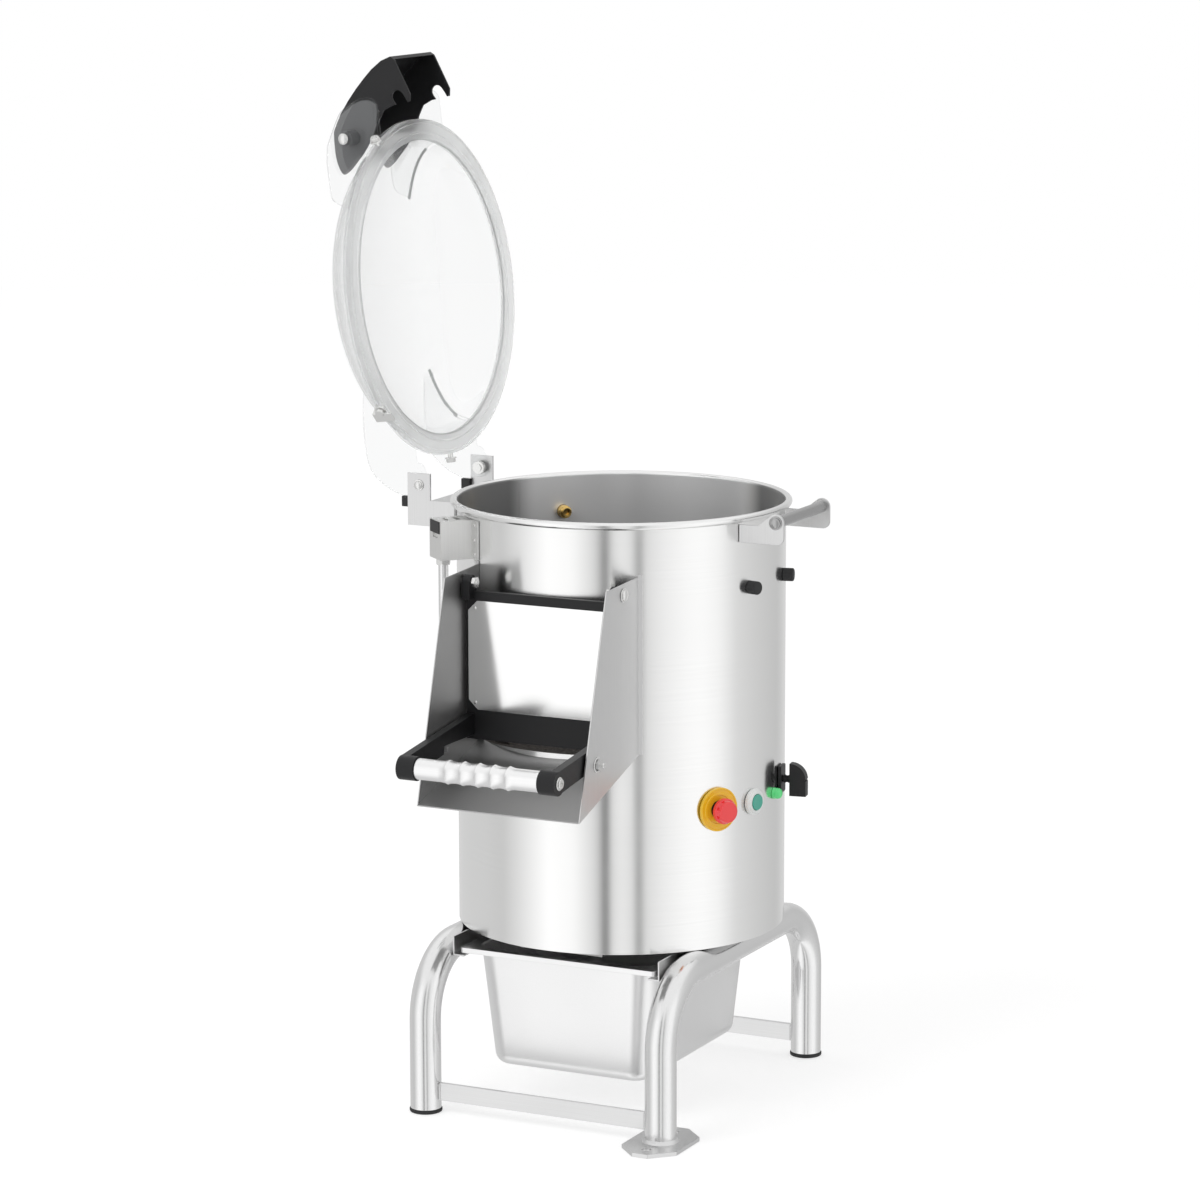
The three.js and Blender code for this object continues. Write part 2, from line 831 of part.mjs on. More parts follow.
function abrasiveDisc() {
  const top = discBottom + discThickness;
  const skirt = discBottom - hubSkirt;
  const profile = [
    [0, skirt], [hubRadius, skirt], [hubRadius, discBottom], [discRadius, discBottom],
    [discRadius, top], [hubRadius, top],
    [hubRadius * hubShoulderShare, top + hubHeight * hubShoulderShare],
    [hubRadius / 2, top + hubHeight], [0, top + hubHeight],
  ];
  const crest = top + waveHeight;
  const wave = [
    [-waveHalfWidth, top - waveSink], [waveHalfWidth, top - waveSink],
    [waveCrest, crest], [-waveCrest, crest],
  ];
  let disc = spun(profile, 48);
  for (const turn of [0, 120, 240]) {
    const ridge = geometryOf(prism('x', wave, hubRadius / 2, discRadius - waveInset));
    disc = disc.add(solidOf(ridge.rotateZ(radians(turn))));
  }
  return disc.subtract(rod(shaftRadius + seatGap, 0, discBottom + shaftSocket + seatGap, 24));
}

function bearingHousing() {
  const bore = bearingRadius + seatGap;
  const outer = bore + housingWall;
  const top = floorBottom - seatGap;
  const profile = [
    [bore, housingBottom], [outer, housingBottom], [outer, top - housingFlange],
    [housingFlangeRadius, top - housingFlange], [housingFlangeRadius, top], [bore, top],
    [bore, housingBottom],
  ];
  return spun(profile, 32);
}

// A shaft with its pulley keyed on.
function pulleyShaft(radius, shaft, shaftTop) {
  const [bottom, top] = [pulleyBottom, pulleyBottom + pulleyWidth];
  const middle = (bottom + top) / 2;
  const half = beltWidth / 2 + beltClear;
  const profile = [
    [0, shaftBottom], [shaft, shaftBottom], [shaft, bottom], [radius, bottom],
    [radius, middle - half], [radius - grooveDepth, middle - half],
    [radius - grooveDepth, middle + half], [radius, middle + half], [radius, top], [shaft, top],
    [shaft, shaftTop], [0, shaftTop],
  ];
  return spun(profile, 32);
}

// The belt's outline round both pulleys, at a depth below their rims.
function beltOutline(depth) {
  const [big, small] = [drivenRadius - depth, motorPulleyRadius - depth];
  const lean = (Math.asin((big - small) / motorY) * 180) / Math.PI;
  return [
    ...arc([0, 0], big, 180 - lean, 360 + lean, 18),
    ...arc([0, motorY], small, lean, 180 - lean, 8),
  ];
}

function driveBelt() {
  const middle = pulleyBottom + pulleyWidth / 2;
  const outer = beltOutline(beltClear);
  const inner = beltOutline(beltClear + beltThickness);
  return prism('z', outer, middle - beltWidth / 2, middle + beltWidth / 2, inner);
}

function motorBody() {
  const bottom = baseTop + seatGap + bracketHeight + seatGap;
  const top = bottom + motorHeight;
  const profile = [
    [0, bottom], [motorRadius - motorChamfer, bottom], [motorRadius, bottom + motorChamfer],
    [motorRadius, top - motorChamfer], [motorRadius - motorChamfer, top], [0, top],
  ];
  const bore = rod(motorShaftRadius + seatGap, 0, bottom + motorShaftReach + seatGap, 20);
  return spun(profile, 32).subtract(bore);
}

function motorShaft() {
  const bottom = baseTop + seatGap + bracketHeight + seatGap;
  return pulleyShaft(motorPulleyRadius, motorShaftRadius, bottom + motorShaftReach);
}

function motorBracket() {
  const bottom = baseTop + seatGap;
  const top = bottom + bracketHeight;
  const spanY = [bracketFrontY, bracketBackY];
  const half = bracketHalfWidth;
  const plate = block([-half, half], spanY, [top - bracketThickness, top]);
  const walls = [-1, 1].map(
    (side) => block(between(side * (half - bracketWall), side * half), spanY, [bottom, top]),
  );
  const hole = rod(bracketHole, 0, top + overrun, 24, 'z', [0, motorY, 0]);
  return unionOf([plate, ...walls]).subtract(hole);
}

function addDrive(parent) {
  const bore = shaftRadius + seatGap;
  addPiece(parent, 'abrasive_disc', abrasiveDisc(), 'grit');
  const shaft = pulleyShaft(drivenRadius, shaftRadius, discBottom + shaftSocket);
  addPiece(parent, 'drive_shaft', shaft, 'zinc');
  addPiece(parent, 'bearing_housing', bearingHousing(), 'zinc');
  for (const [name, z] of [['lower', lowerBearingZ], ['upper', upperBearingZ]]) {
    addPiece(parent, `${name}_bearing`, sleeve(bore, bearingRadius, z, z + bearingWidth, 28), 'zinc');
  }
  addPiece(parent, 'drive_belt', driveBelt(), 'rubber');
  addPiece(parent, 'motor_bracket', motorBracket(), 'zinc');
  const group = new THREE.Group();
  group.position.y = motorY;
  parent.add(group);
  addPiece(group, 'motor', motorBody(), 'motor');
  addPiece(group, 'motor_shaft', motorShaft(), 'zinc');
  const boxBottom = baseTop + seatGap;
  const electricBox = block(
    [electricBoxFarX, electricBoxNearX],
    [-electricBoxHalfLength, electricBoxHalfLength],
    [boxBottom, boxBottom + electricBoxHeight],
  );
  addPiece(parent, 'electrical_box', electricBox, 'seal');
}

// Chute

function chuteBody() {
  const inside = -drumRadius / 2;
  const backY = -Math.sqrt(wallFace ** 2 - chuteHalfWidth ** 2);
  const cheek = [
    [inside, chuteBackZ], [backY, chuteBackZ], [chuteLipY, chuteLipZ],
    [chuteTopFrontY, chuteTopFrontZ], [inside, chuteTopBackZ],
  ];
  const slope = (chuteBackZ - chuteLipZ) / (backY - chuteLipY);
  const backZ = chuteLipZ + slope * (inside - chuteLipY);
  const floor = [
    [chuteLipY, chuteLipZ], [inside, backZ], [inside, backZ + chuteSheet],
    [chuteLipY, chuteLipZ + chuteSheet],
  ];
  const panels = [-1, 1].map((side) => {
    const [x0, x1] = between(side * (chuteHalfWidth - chuteSheet), side * chuteHalfWidth);
    return prism('x', cheek, x0, x1);
  });
  const edgeAngle = (Math.acos((chuteHalfWidth - chuteSheet) / drumRadius) * 180) / Math.PI;
  const flanges = [-1, 1].map((side) => drumSheet(
    wallFace,
    wallFace + chuteSheet,
    side > 0 ? -edgeAngle : 180 + edgeAngle,
    side > 0 ? chuteFlangeAngle - edgeAngle : 180 + edgeAngle - chuteFlangeAngle,
    chuteBackZ,
    chuteTopBackZ,
    2,
  ));
  const pinHole = rod(
    doorPinRadius + seatGap, -2 * chuteHalfWidth, 2 * chuteHalfWidth, 16, 'x', [0, doorAxisY, doorAxisZ],
  );
  const drumSpace = rod(wallFace, 0, chuteTopBackZ + overrun, drumSegments);
  const sheet = unionOf([...panels, prism('x', floor, -chuteHalfWidth, chuteHalfWidth)]);
  const folded = cutBy(sheet, [drumSpace, pinHole]);
  return unionOf([folded, ...flanges, stopPin(-1), stopPin(1)]);
}

// The pin that the door's arm rests on, set through the side panel with its head outside.
function stopPin(side) {
  const face = side * chuteHalfWidth;
  const head = face + side * boltHeadHeight;
  const centre = [0, stopY, stopZ];
  return unionOf([
    rod(stopPinRadius, ...between(face - side * stopPinReach, head), 16, 'x', centre),
    rod(boltHeadRadius, ...between(face - side * chuteSheet / 2, head), 6, 'x', centre),
  ]);
}

// A hinge bolt through one side panel and the door's ear, with a nut inside the ear.
function doorBolt(side) {
  const face = side * (chuteHalfWidth + seatGap);
  const head = face + side * boltHeadHeight;
  const nut = side * (doorHalfWidth - doorEarWidth - seatGap);
  const end = nut - side * boltHeadHeight;
  const centre = [0, doorAxisY, doorAxisZ];
  return unionOf([
    rod(doorPinRadius, ...between(end, face), 16, 'x', centre),
    rod(boltHeadRadius, ...between(face, head), 6, 'x', centre),
    rod(boltHeadRadius, ...between(end, nut), 6, 'x', centre),
  ]);
}

function addChute(parent) {
  addPiece(parent, 'chute', chuteBody(), 'brushed');
  for (const [name, side] of sides) addPiece(parent, `${name}_door_bolt`, doorBolt(side), 'zinc');
}

// Chute door

const doorFrontY = doorBackY - doorThickness;

function doorPanel() {
  const panel = block([-doorHalfWidth, doorHalfWidth], [doorFrontY, doorBackY], [doorBottom, doorTop]);
  const inner = doorHalfWidth - doorEarWidth;
  const ear = [
    ...arc([doorAxisY, doorAxisZ], doorEarRadius, 0, 180, 8),
    [doorAxisY - doorEarRadius, doorTop - doorEarRadius], [doorBackY, doorTop - doorEarRadius],
  ];
  const ears = [-1, 1].map((side) => prism('x', ear, ...between(side * inner, side * doorHalfWidth)));
  const axis = rod(
    doorPinRadius + seatGap, -2 * doorHalfWidth, 2 * doorHalfWidth, 16, 'x', [0, doorAxisY, doorAxisZ],
  );
  return unionOf([panel, ...ears]).subtract(axis);
}

function facePlate() {
  const outline = chamferedRectangle(
    [-facePlateHalfWidth, facePlateHalfWidth], [facePlateBottom, facePlateTop], facePlateCorner,
  );
  const back = doorFrontY - seatGap;
  return prism('y', outline, back - facePlateThickness, back);
}

function doorArm(side) {
  const outer = doorHalfWidth;
  const front = doorFrontY - seatGap;
  const stepY = stopY - stopPinRadius - seatGap;
  const clearZ = stopZ + stopPinRadius + seatGap;
  const outline = [
    [gripY, armFrontTopZ], [front, armRearTopZ], [front, clearZ], [stepY, clearZ],
    [stepY, armStopLowZ], [gripY, armFrontLowZ],
  ];
  const arm = prism('x', outline, ...between(side * (outer - armWidth), side * outer));
  const bossFrom = side * (gripHalfLength + seatGap);
  const boss = rod(armBossRadius, ...between(bossFrom, side * outer), 24, 'x', [0, gripY, gripZ]);
  const core = rod(gripCore + fitGap, -2 * outer, 2 * outer, 12, 'x', [0, gripY, gripZ]);
  return cutBy(arm.add(boss), [core]);
}

// An aluminium grip with ridges between the fingers, turned from one bar with a
// spigot at each end that reaches through the arm.
function doorGrip() {
  const end = doorHalfWidth + seatGap;
  const profile = [
    [0, -end], [gripCore, -end], [gripCore, -gripHalfLength], [gripRadius, -gripHalfLength],
  ];
  const start = -(gripPitch * (gripRidges - 1)) / 2;
  for (let i = 0; i < gripRidges; i += 1) {
    const centre = start + gripPitch * i;
    profile.push([gripRadius, centre - gripPitch / 2]);
    profile.push([gripRadius + gripRidge, centre - gripPitch / 6]);
    profile.push([gripRadius + gripRidge, centre + gripPitch / 6]);
  }
  profile.push([gripRadius, start + gripPitch * (gripRidges - 1 / 2)]);
  profile.push([gripRadius, gripHalfLength], [gripCore, gripHalfLength], [gripCore, end], [0, end]);
  return spun(profile, 24, 'x', [0, gripY, gripZ]);
}

function addDoor(parent) {
  addPiece(parent, 'chute_door', doorPanel(), 'black');
  addPiece(parent, 'door_face_plate', facePlate(), 'brightSteel');
  for (const [name, side] of sides) addPiece(parent, `${name}_door_arm`, doorArm(side), 'black');
  addPiece(parent, 'door_grip', doorGrip(), 'aluminium');
}

// Lid hinge bracket, standing on the drum wall at -X

const lugInnerY = gussetY + gussetThickness / 2 + fitGap;

function hingeLug(side) {
  const y = side * lugInnerY;
  const [y0, y1] = between(y, y + side * lugThickness);
  const farY = lugInnerY + lugThickness;
  const drumX = -Math.sqrt(wallFace ** 2 - lugInnerY ** 2) - seatGap;
  const footTop = rimHeight - beadRadius - seatGap;
  const outline = [
    [hingeX - lugReach, hingeZ - lugFootHeight], [hingeX - lugReach, hingeZ + lugTop],
    [hingeX + lugReach, hingeZ + lugTop], [hingeX + lugReach, footTop],
    [drumX, footTop], [drumX, hingeZ - lugDrop],
    [hingeX + lugReach, hingeZ - lugDrop],
  ];
  const foot = drumSheet(
    wallFace,
    wallFace + bracketSheet,
    180 - side * (Math.asin(lugInnerY / drumRadius) * 180) / Math.PI,
    180 - side * ((Math.asin(farY / drumRadius) * 180) / Math.PI + lugFlangeAngle),
    hingeZ - lugDrop,
    footTop,
    2,
  );
  const pin = rod(hingePinRadius + seatGap, -2 * lugInnerY, 2 * lugInnerY, 16, 'y', [hingeX, 0, hingeZ]);
  return cutBy(prism('y', outline, y0, y1).add(foot), [pin]);
}

function hingeStopTop() {
  const fall = hingeEyeRadius * sine(lidOpenAngle) - stopBlockFar * cosine(lidOpenAngle);
  return hingeZ - fall - seatGap;
}

// Two lugs folded up from one sheet, whose floor carries the stop blocks.
function hingeBracket() {
  const top = hingeStopTop() - stopBlockHeight - seatGap;
  const halfY = lugInnerY + lugThickness / 2;
  const spanX = [hingeX - lugReach, hingeX + lugReach];
  const floor = block(spanX, [-halfY, halfY], [top - bracketSheet, top]);
  return unionOf([hingeLug(-1), hingeLug(1), floor]);
}

function stopBlock(side) {
  const top = hingeStopTop();
  const y0 = side * (gussetY - gussetThickness);
  const y1 = side * (lugInnerY - seatGap);
  const x = [hingeX - stopBlockFar, hingeX - stopBlockNear];
  return block(x, between(y0, y1), [top - stopBlockHeight, top]);
}

function hingePin(side) {
  const outerY = lugInnerY + lugThickness + seatGap;
  const innerY = gussetY - gussetThickness / 2 - seatGap;
  const centre = [hingeX, 0, hingeZ];
  const end = innerY - boltHeadHeight;
  return unionOf([
    rod(hingePinRadius, ...between(side * end, side * outerY), 16, 'y', centre),
    rod(boltHeadRadius + 1, ...between(side * outerY, side * (outerY + boltHeadHeight)), 16, 'y', centre),
    rod(boltHeadRadius + 1, ...between(side * end, side * innerY), 6, 'y', centre),
  ]);
}

function addHinge(parent) {
  for (const [place, side] of [['front', -1], ['rear', 1]]) {
    addPiece(parent, `${place}_hinge_bolt`, hingePin(side), 'zinc');
    addPiece(parent, `${place}_stop_block`, stopBlock(side), 'rubber');
  }
  addPiece(parent, 'hinge_bracket', hingeBracket(), 'brushed');
}

// Lid, drawn closed about the drum's axis with the seal's underside at z = 0

function domeProfile(radius, height, base) {
  const points = [];
  for (let i = 0; i <= domeSteps; i += 1) {
    const angle = (90 * i) / domeSteps;
    points.push([
      radius * cosine(angle) ** (2 / domePower),
      base + height * sine(angle) ** (2 / domePower),
    ]);
  }
  points[domeSteps][0] = 0;
  return points;
}

const flangeBottom = ringHeight + seatGap;
const flangeTop = flangeBottom + domeFlange;

function domeInner() {
  return spun([[0, -overrun], [ringInner, -overrun], [ringInner, flangeBottom],
    ...domeProfile(domeRadius - domeWall, domeHeight - domeWall, flangeTop)], lidSegments);
}

function domeOuter() {
  return spun([[0, flangeBottom], [ringOuter, flangeBottom], [ringOuter, flangeTop],
    ...domeProfile(domeRadius, domeHeight, flangeTop)], lidSegments);
}

// Gusset outlines are shares of the dome's radius across and of its full height up.
function gussetOutline(shares) {
  return shares.map(([across, up]) => [across * domeRadius, up * (flangeTop + domeHeight)]);
}

// A point as shares of a length, counted from the latch's pivot.
const fromPivot = ([across, up], length) => [latchPivotX + across * length, latchPivotZ + up * length];

function latchGusset(side) {
  const half = gussetThickness / 2;
  const y = side * gussetY;
  const outline = [
    ...gussetOutline(latchGussetTopShares),
    ...latchGussetNoseShares.map((point) => fromPivot(point, leverLength)),
    [latchPivotX + latchGussetEndShare * leverLength, flangeBottom],
    [domeRadius * gussetFootShare, flangeBottom],
  ];
  return prism('y', outline, y - half, y + half);
}

function hingeGusset(side) {
  const half = gussetThickness / 2;
  const y = side * gussetY;
  const heel = hingeX - hingeEyeRadius;
  const outline = [
    ...gussetOutline(hingeGussetShares),
    [heel, pivotLift + stopBlockFar],
    ...arc([hingeX, pivotLift], hingeEyeRadius, 180, heelArcEnd, 6),
    [-ringOuter, seatGap], [-ringOuter, flangeTop],
    [-domeRadius * gussetFootShare, flangeTop],
  ];
  return prism('y', outline, y - half, y + half);
}

function lidDome() {
  const gussets = [-1, 1].flatMap((side) => [latchGusset(side), hingeGusset(side)]);
  const belowFlange = rod(ringOuter + seatGap, -2 * overrun, flangeBottom, lidSegments);
  const shell = unionOf([domeOuter(), ...gussets]);
  const reach = 2 * gussetY;
  return cutBy(shell, [
    domeInner(),
    belowFlange,
    rod(hingePinRadius + seatGap, -reach, reach, 16, 'y', [hingeX, 0, pivotLift]),
    rod(latchPinRadius + seatGap, -reach, reach, 12, 'y', [latchPivotX, 0, latchPivotZ]),
  ]);
}

function switchActuator() {
  const y = [-actuatorHalfWidth, actuatorHalfWidth];
  const bottom = flangeTop + seatGap;
  const arm = block([ringOuter - overrun, actuatorReach], y, [bottom, bottom + actuatorWall]);
  const tongue = block([actuatorReach - actuatorWall, actuatorReach], y, [-actuatorDrop, bottom]);
  return arm.add(tongue);
}

// Latch lever: a moulded trough between the lid's gussets, with hooks that go under the catch

function leverOutline(shift) {
  const pull = ([across, up]) => {
    const distance = Math.hypot(across, up) * leverLength;
    return fromPivot([across, up].map((value) => value * (1 - shift / distance)), leverLength);
  };
  return leverOutlineShares.map(pull);
}

// The way that the catch bar takes past the hook as the lever swings.
function catchSlot() {
  const drop = latchPivotZ + catchDrop;
  const reach = Math.hypot(catchX - latchPivotX, drop);
  const angle = (Math.atan2(-drop, catchX - latchPivotX) * 180) / Math.PI;
  const half = catchBarRadius + catchSlotGap;
  const centre = [latchPivotX, latchPivotZ];
  const outline = [
    ...arc(centre, reach + half, angle - catchWaySpan, angle, 8),
    ...arc([catchX, -catchDrop], half, angle + catchWayLean, angle + 180 - catchWayLean, 4),
    ...arc(centre, reach - half, angle, angle - catchWaySpan, 8),
  ];
  return prism('y', outline, -2 * leverHalfWidth, 2 * leverHalfWidth);
}

function latchLever() {
  const foot = leverFootShares.map((point) => fromPivot(point, leverLength));
  const inner = leverInnerShares.map((point) => fromPivot(point, leverLength));
  const outline = [...leverOutline(0), ...foot, ...inner];
  const back = leverOutline(leverWall).slice(1);
  const hollow = [
    ...back,
    [latchPivotX + leverLength - 2 * leverWall, -leverLength],
    [latchPivotX - leverLength, -leverLength],
    [latchPivotX - leverLength, latchPivotZ + leverLength],
    [back[0][0], latchPivotZ + leverLength],
  ];
  const innerHalf = leverHalfWidth - leverWall;
  const body = prism('y', outline, -leverHalfWidth, leverHalfWidth);
  const trough = body.subtract(prism('y', hollow, -innerHalf, innerHalf));
  const pin = rod(
    latchPinRadius + seatGap, -2 * leverHalfWidth, 2 * leverHalfWidth, 12, 'y',
    [latchPivotX, 0, latchPivotZ],
  );
  return cutBy(trough, [catchSlot(), pin]);
}

// A side cheek with the pin that the lever turns on. Its boss fills the space between
// the lever and the lid's gusset, and the pin's head is outside the gusset.
function cheekPlate(side) {
  const outline = cheekOutlineShares.map((point) => fromPivot(point, cheekLength));
  const inner = leverHalfWidth + seatGap;
  const bossEnd = gussetY - gussetThickness / 2 - runGap / 2;
  const headStart = gussetY + gussetThickness / 2 + seatGap;
  const head = headStart + latchPinRadius;
  const nut = leverHalfWidth - leverWall - seatGap;
  const end = nut - latchPinRadius;
  const centre = [latchPivotX, 0, latchPivotZ];
  return unionOf([
    prism('y', outline, ...between(side * inner, side * (inner + cheekThickness))),
    rod(cheekBossRadius, ...between(side * inner, side * bossEnd), 20, 'y', centre),
    rod(latchPinRadius, ...between(side * end, side * head), 12, 'y', centre),
    rod(2 * latchPinRadius, ...between(side * headStart, side * head), 12, 'y', centre),
    rod(2 * latchPinRadius, ...between(side * end, side * nut), 6, 'y', centre),
  ]);
}

function addLid(parent) {
  const hinge = new THREE.Group();
  hinge.position.set(hingeX, 0, hingeZ);
  hinge.rotation.y = -radians(lidOpenAngle);
  const lid = new THREE.Group();
  lid.position.set(-hingeX, 0, -pivotLift);
  hinge.add(lid);
  parent.add(hinge);
  addPiece(lid, 'lid_dome', lidDome(), 'clear');
  addPiece(lid, 'lid_seal', sleeve(ringInner, ringOuter, 0, ringHeight, lidSegments), 'seal');
  addPiece(radialGroup(lid, actuatorAngle), 'switch_actuator', switchActuator(), 'zinc');
  for (const [place, side] of [['front', -1], ['rear', 1]]) {
    addPiece(lid, `${place}_latch_cheek`, cheekPlate(side), 'grey');
  }
  addPiece(lid, 'latch_lever', latchLever(), 'black');
}

// Catch on the drum at +X, and the rubber bumpers below it

const catchZ = ringUnder - catchDrop;

function catchPlate(side) {
  const outerY = catchPlateY + catchPlateThickness;
  const drumX = Math.sqrt(wallFace ** 2 - catchPlateY ** 2) + seatGap;
  const outline = [
    [drumX, catchPlateBottom], [catchX - catchEyeRadius, catchPlateBottom],
    ...arc([catchX, catchZ], catchEyeRadius, catchEyeStart, catchEyeEnd, 8),
    [drumX + 2 * catchEyeRadius, catchPlateTop], [drumX, catchPlateTop],
  ];
  const plate = prism('y', outline, ...between(side * catchPlateY, side * outerY));
  const hole = rod(
    catchScrewRadius + seatGap, -2 * outerY, 2 * outerY, 16, 'y', [catchX, 0, catchZ],
  );
  return plate.subtract(hole);
}

// A bar between the plates, with a thinner end through each plate and a head outside.
function catchBar() {
  const half = catchPlateY - seatGap;
  const end = catchPlateY + catchPlateThickness + seatGap;
  const centre = [catchX, 0, catchZ];
  return unionOf([
    rod(catchBarRadius, -half, half, 20, 'y', centre),
    rod(catchScrewRadius, -end, end, 16, 'y', centre),
    rod(boltHeadRadius, end, end + boltHeadHeight, 6, 'y', centre),
    rod(boltHeadRadius, -end - boltHeadHeight, -end, 6, 'y', centre),
  ]);
}

function addCatch(parent) {
  for (const [place, side] of [['front', -1], ['rear', 1]]) {
    addPiece(parent, `${place}_catch_plate`, catchPlate(side), 'brushed');
    const bumper = rod(bumperRadius, wallFace, drumRadius + bumperLength, 20, 'x', [0, 0, bumperZ]);
    addPiece(radialGroup(parent, side * bumperAngle), `${place}_bumper`, bumper, 'rubber');
  }
  addPiece(parent, 'catch_bar', catchBar(), 'zinc');
}

// Lid switch box with its conduit

function switchBox() {
  const half = switchHalfWidth;
  const top = switchBottom + switchHeight;
  const body = block([wallFace, switchReach], [-half, half], [switchBottom, top]);
  const edge = (Math.asin(half / drumRadius) * 180) / Math.PI;
  const flange = drumSheet(
    wallFace, wallFace + bracketSheet, edge - switchFlangeLap, edge + switchFlangeAngle,
    switchBottom, top, 2,
  );
  const windowTop = top - windowHeight / 2;
  const window = block(
    [switchReach - recessDepth, switchReach + overrun],
    [-windowHalfWidth, windowHalfWidth],
    [windowTop - windowHeight, windowTop],
  );
  const slotX = (x) => block(
    [x - recessDepth, x + recessDepth],
    [-slotHalfWidth, slotHalfWidth],
    [top - 2 * recessDepth, top + overrun],
  );
  const keySlot = block(
    [actuatorReach - actuatorWall - runGap, actuatorReach + runGap],
    [-slotHalfWidth, slotHalfWidth],
    [ringUnder - actuatorDrop - overrun, top + overrun],
  );
  return cutBy(body.add(flange), [window, keySlot, slotX((actuatorReach + switchReach) / 2)]);
}

function switchConduit() {
  const corners = [
    [conduitReach, switchBottom - seatGap], [conduitReach, conduitEntryZ], [wallFace, conduitEntryZ],
  ];
  const place = ([x, z]) => new THREE.Vector3(x, conduitSide, z);
  const tube = tubeAlong(roundedRoute(corners, conduitBend, 4, place), conduitRadius, 0, 12);
  const nutRadius = conduitRadius * conduitNutShare;
  const nut = rod(
    nutRadius, switchBottom - seatGap - conduitNut, switchBottom - seatGap, 6, 'z',
    [conduitReach, conduitSide, 0],
  );
  const gland = rod(nutRadius, wallFace, wallFace + conduitNut, 6, 'x', [0, conduitSide, conduitEntryZ]);
  return unionOf([tube, nut, gland]);
}

function addSwitch(parent) {
  const group = radialGroup(parent, switchAngle);
  addPiece(group, 'lid_switch_box', switchBox(), 'seal');
  addPiece(group, 'switch_conduit', switchConduit(), 'grey');
}

// Controls. In each radial group X points out of the drum.

function contactBlock() {
  const inner = drumInner - fitGap - contactDepth;
  const [back, front] = [inner, drumInner - fitGap - contactSetback];
  const half = contactHalfWidth;
  return block([back, front], [-half, half], [controlZ - half, controlZ + half]);
}

// A threaded barrel through the casing, bored for the moving stem, with its contacts behind.
function controlBarrel(bore) {
  const centre = [0, 0, controlZ];
  const barrel = rod(barrelRadius, drumInner - barrelDepth, drumRadius + barrelStand, 24, 'x', centre);
  const hole = rod(bore, drumRadius - barrelDepth / 2, drumRadius + 2 * overrun, 24, 'x', centre);
  return barrel.add(contactBlock()).subtract(hole);
}

function estopMushroom() {
  const centre = [0, 0, controlZ];
  const seat = drumRadius + barrelStand + estopTravel + seatGap;
  const profile = [
    [0, drumRadius - barrelDepth / 2 + estopTravel + seatGap],
    [estopStem, drumRadius - barrelDepth / 2 + estopTravel + seatGap], [estopStem, seat],
    [estopHeadRadius, seat], [estopHeadRadius, seat + estopHeadHeight / 2],
    [estopHeadRadius * headShoulderShare, seat + estopHeadHeight * headShoulderShare],
    [estopHeadRadius / 2, seat + estopHeadHeight],
    [0, seat + estopHeadHeight],
  ];
  return spun(profile, 28, 'x', centre);
}

function startButton() {
  const rear = drumRadius - barrelDepth / 2 + buttonTravel + seatGap;
  return rod(buttonRadius, rear, drumRadius + buttonProud, 24, 'x', [0, 0, controlZ]);
}

function pilotLamp() {
  const face = drumRadius + fitGap;
  const profile = [
    [0, drumInner - barrelDepth], [lampBarrel, drumInner - barrelDepth], [lampBarrel, face],
    [lampRadius, face], [lampRadius, face + lampHeight / 2],
    [lampRadius * lampShoulderShare, face + lampHeight * headShoulderShare],
    [0, face + lampHeight],
  ];
  return spun(profile, 20, 'x', [0, 0, controlZ]);
}

function knobPlate() {
  const half = knobPlateHalf;
  const face = drumRadius + fitGap;
  const plate = block([face, face + knobPlateThickness], [-half, half], [knobZ - half, knobZ + half]);
  return plate.subtract(rod(knobShaftRadius + seatGap, 0, 2 * drumRadius, 16, 'x', [0, 0, knobZ]));
}

function rotaryHandle() {
  const face = drumRadius + fitGap + knobPlateThickness + seatGap;
  const neck = rod(knobNeckRadius, face, face + knobNeckHeight, 24, 'x', [0, 0, knobZ]);
  const shaft = rod(
    knobShaftRadius, drumInner - barrelDepth + seatGap, face + knobNeckHeight, 16, 'x', [0, 0, knobZ],
  );
  const [back, top] = [face + knobNeckHeight / 2, face + knobNeckHeight + knobHandleHeight];
  const upper = knobZ + knobHandleHalfLength;
  const outline = [
    [back, knobZ - knobHandleHalfLength], [top, knobZ - knobHandleHalfLength],
    ...arc([top - knobHandleHalfLength, knobZ], knobHandleHalfLength, 0, 90, 5), [back, upper],
  ];
  const half = knobHandleHalfWidth;
  return unionOf([neck, shaft, prism('y', outline, -half, half)]);
}

function addControls(parent) {
  const face = drumRadius + fitGap;
  const centre = [0, 0, controlZ];
  const ringBore = barrelRadius + seatGap;
  const estop = radialGroup(parent, estopAngle);
  const plate = sleeve(ringBore, estopPlateRadius, face, face + estopPlateThickness, 32, 'x', centre);
  addPiece(estop, 'estop_plate', plate, 'yellow');
  addPiece(estop, 'estop_barrel', controlBarrel(estopStem + seatGap), 'black');
  addPiece(estop, 'estop_mushroom', estopMushroom(), 'red');
  const start = radialGroup(parent, startAngle);
  const barrel = controlBarrel(buttonRadius + seatGap);
  const bezel = sleeve(buttonRadius + seatGap, bezelRadius, face, face + bezelHeight, 28, 'x', centre);
  addPiece(start, 'start_bezel', barrel.add(bezel), 'polished');
  addPiece(start, 'start_button', startButton(), 'green');
  addPiece(radialGroup(parent, lampAngle), 'pilot_lamp', pilotLamp(), 'green');
  const rotary = radialGroup(parent, knobAngle);
  addPiece(rotary, 'rotary_plate', knobPlate(), 'black');
  addPiece(rotary, 'rotary_handle', rotaryHandle(), 'black');
}

// Water nozzle and cable gland, through the casing's rear

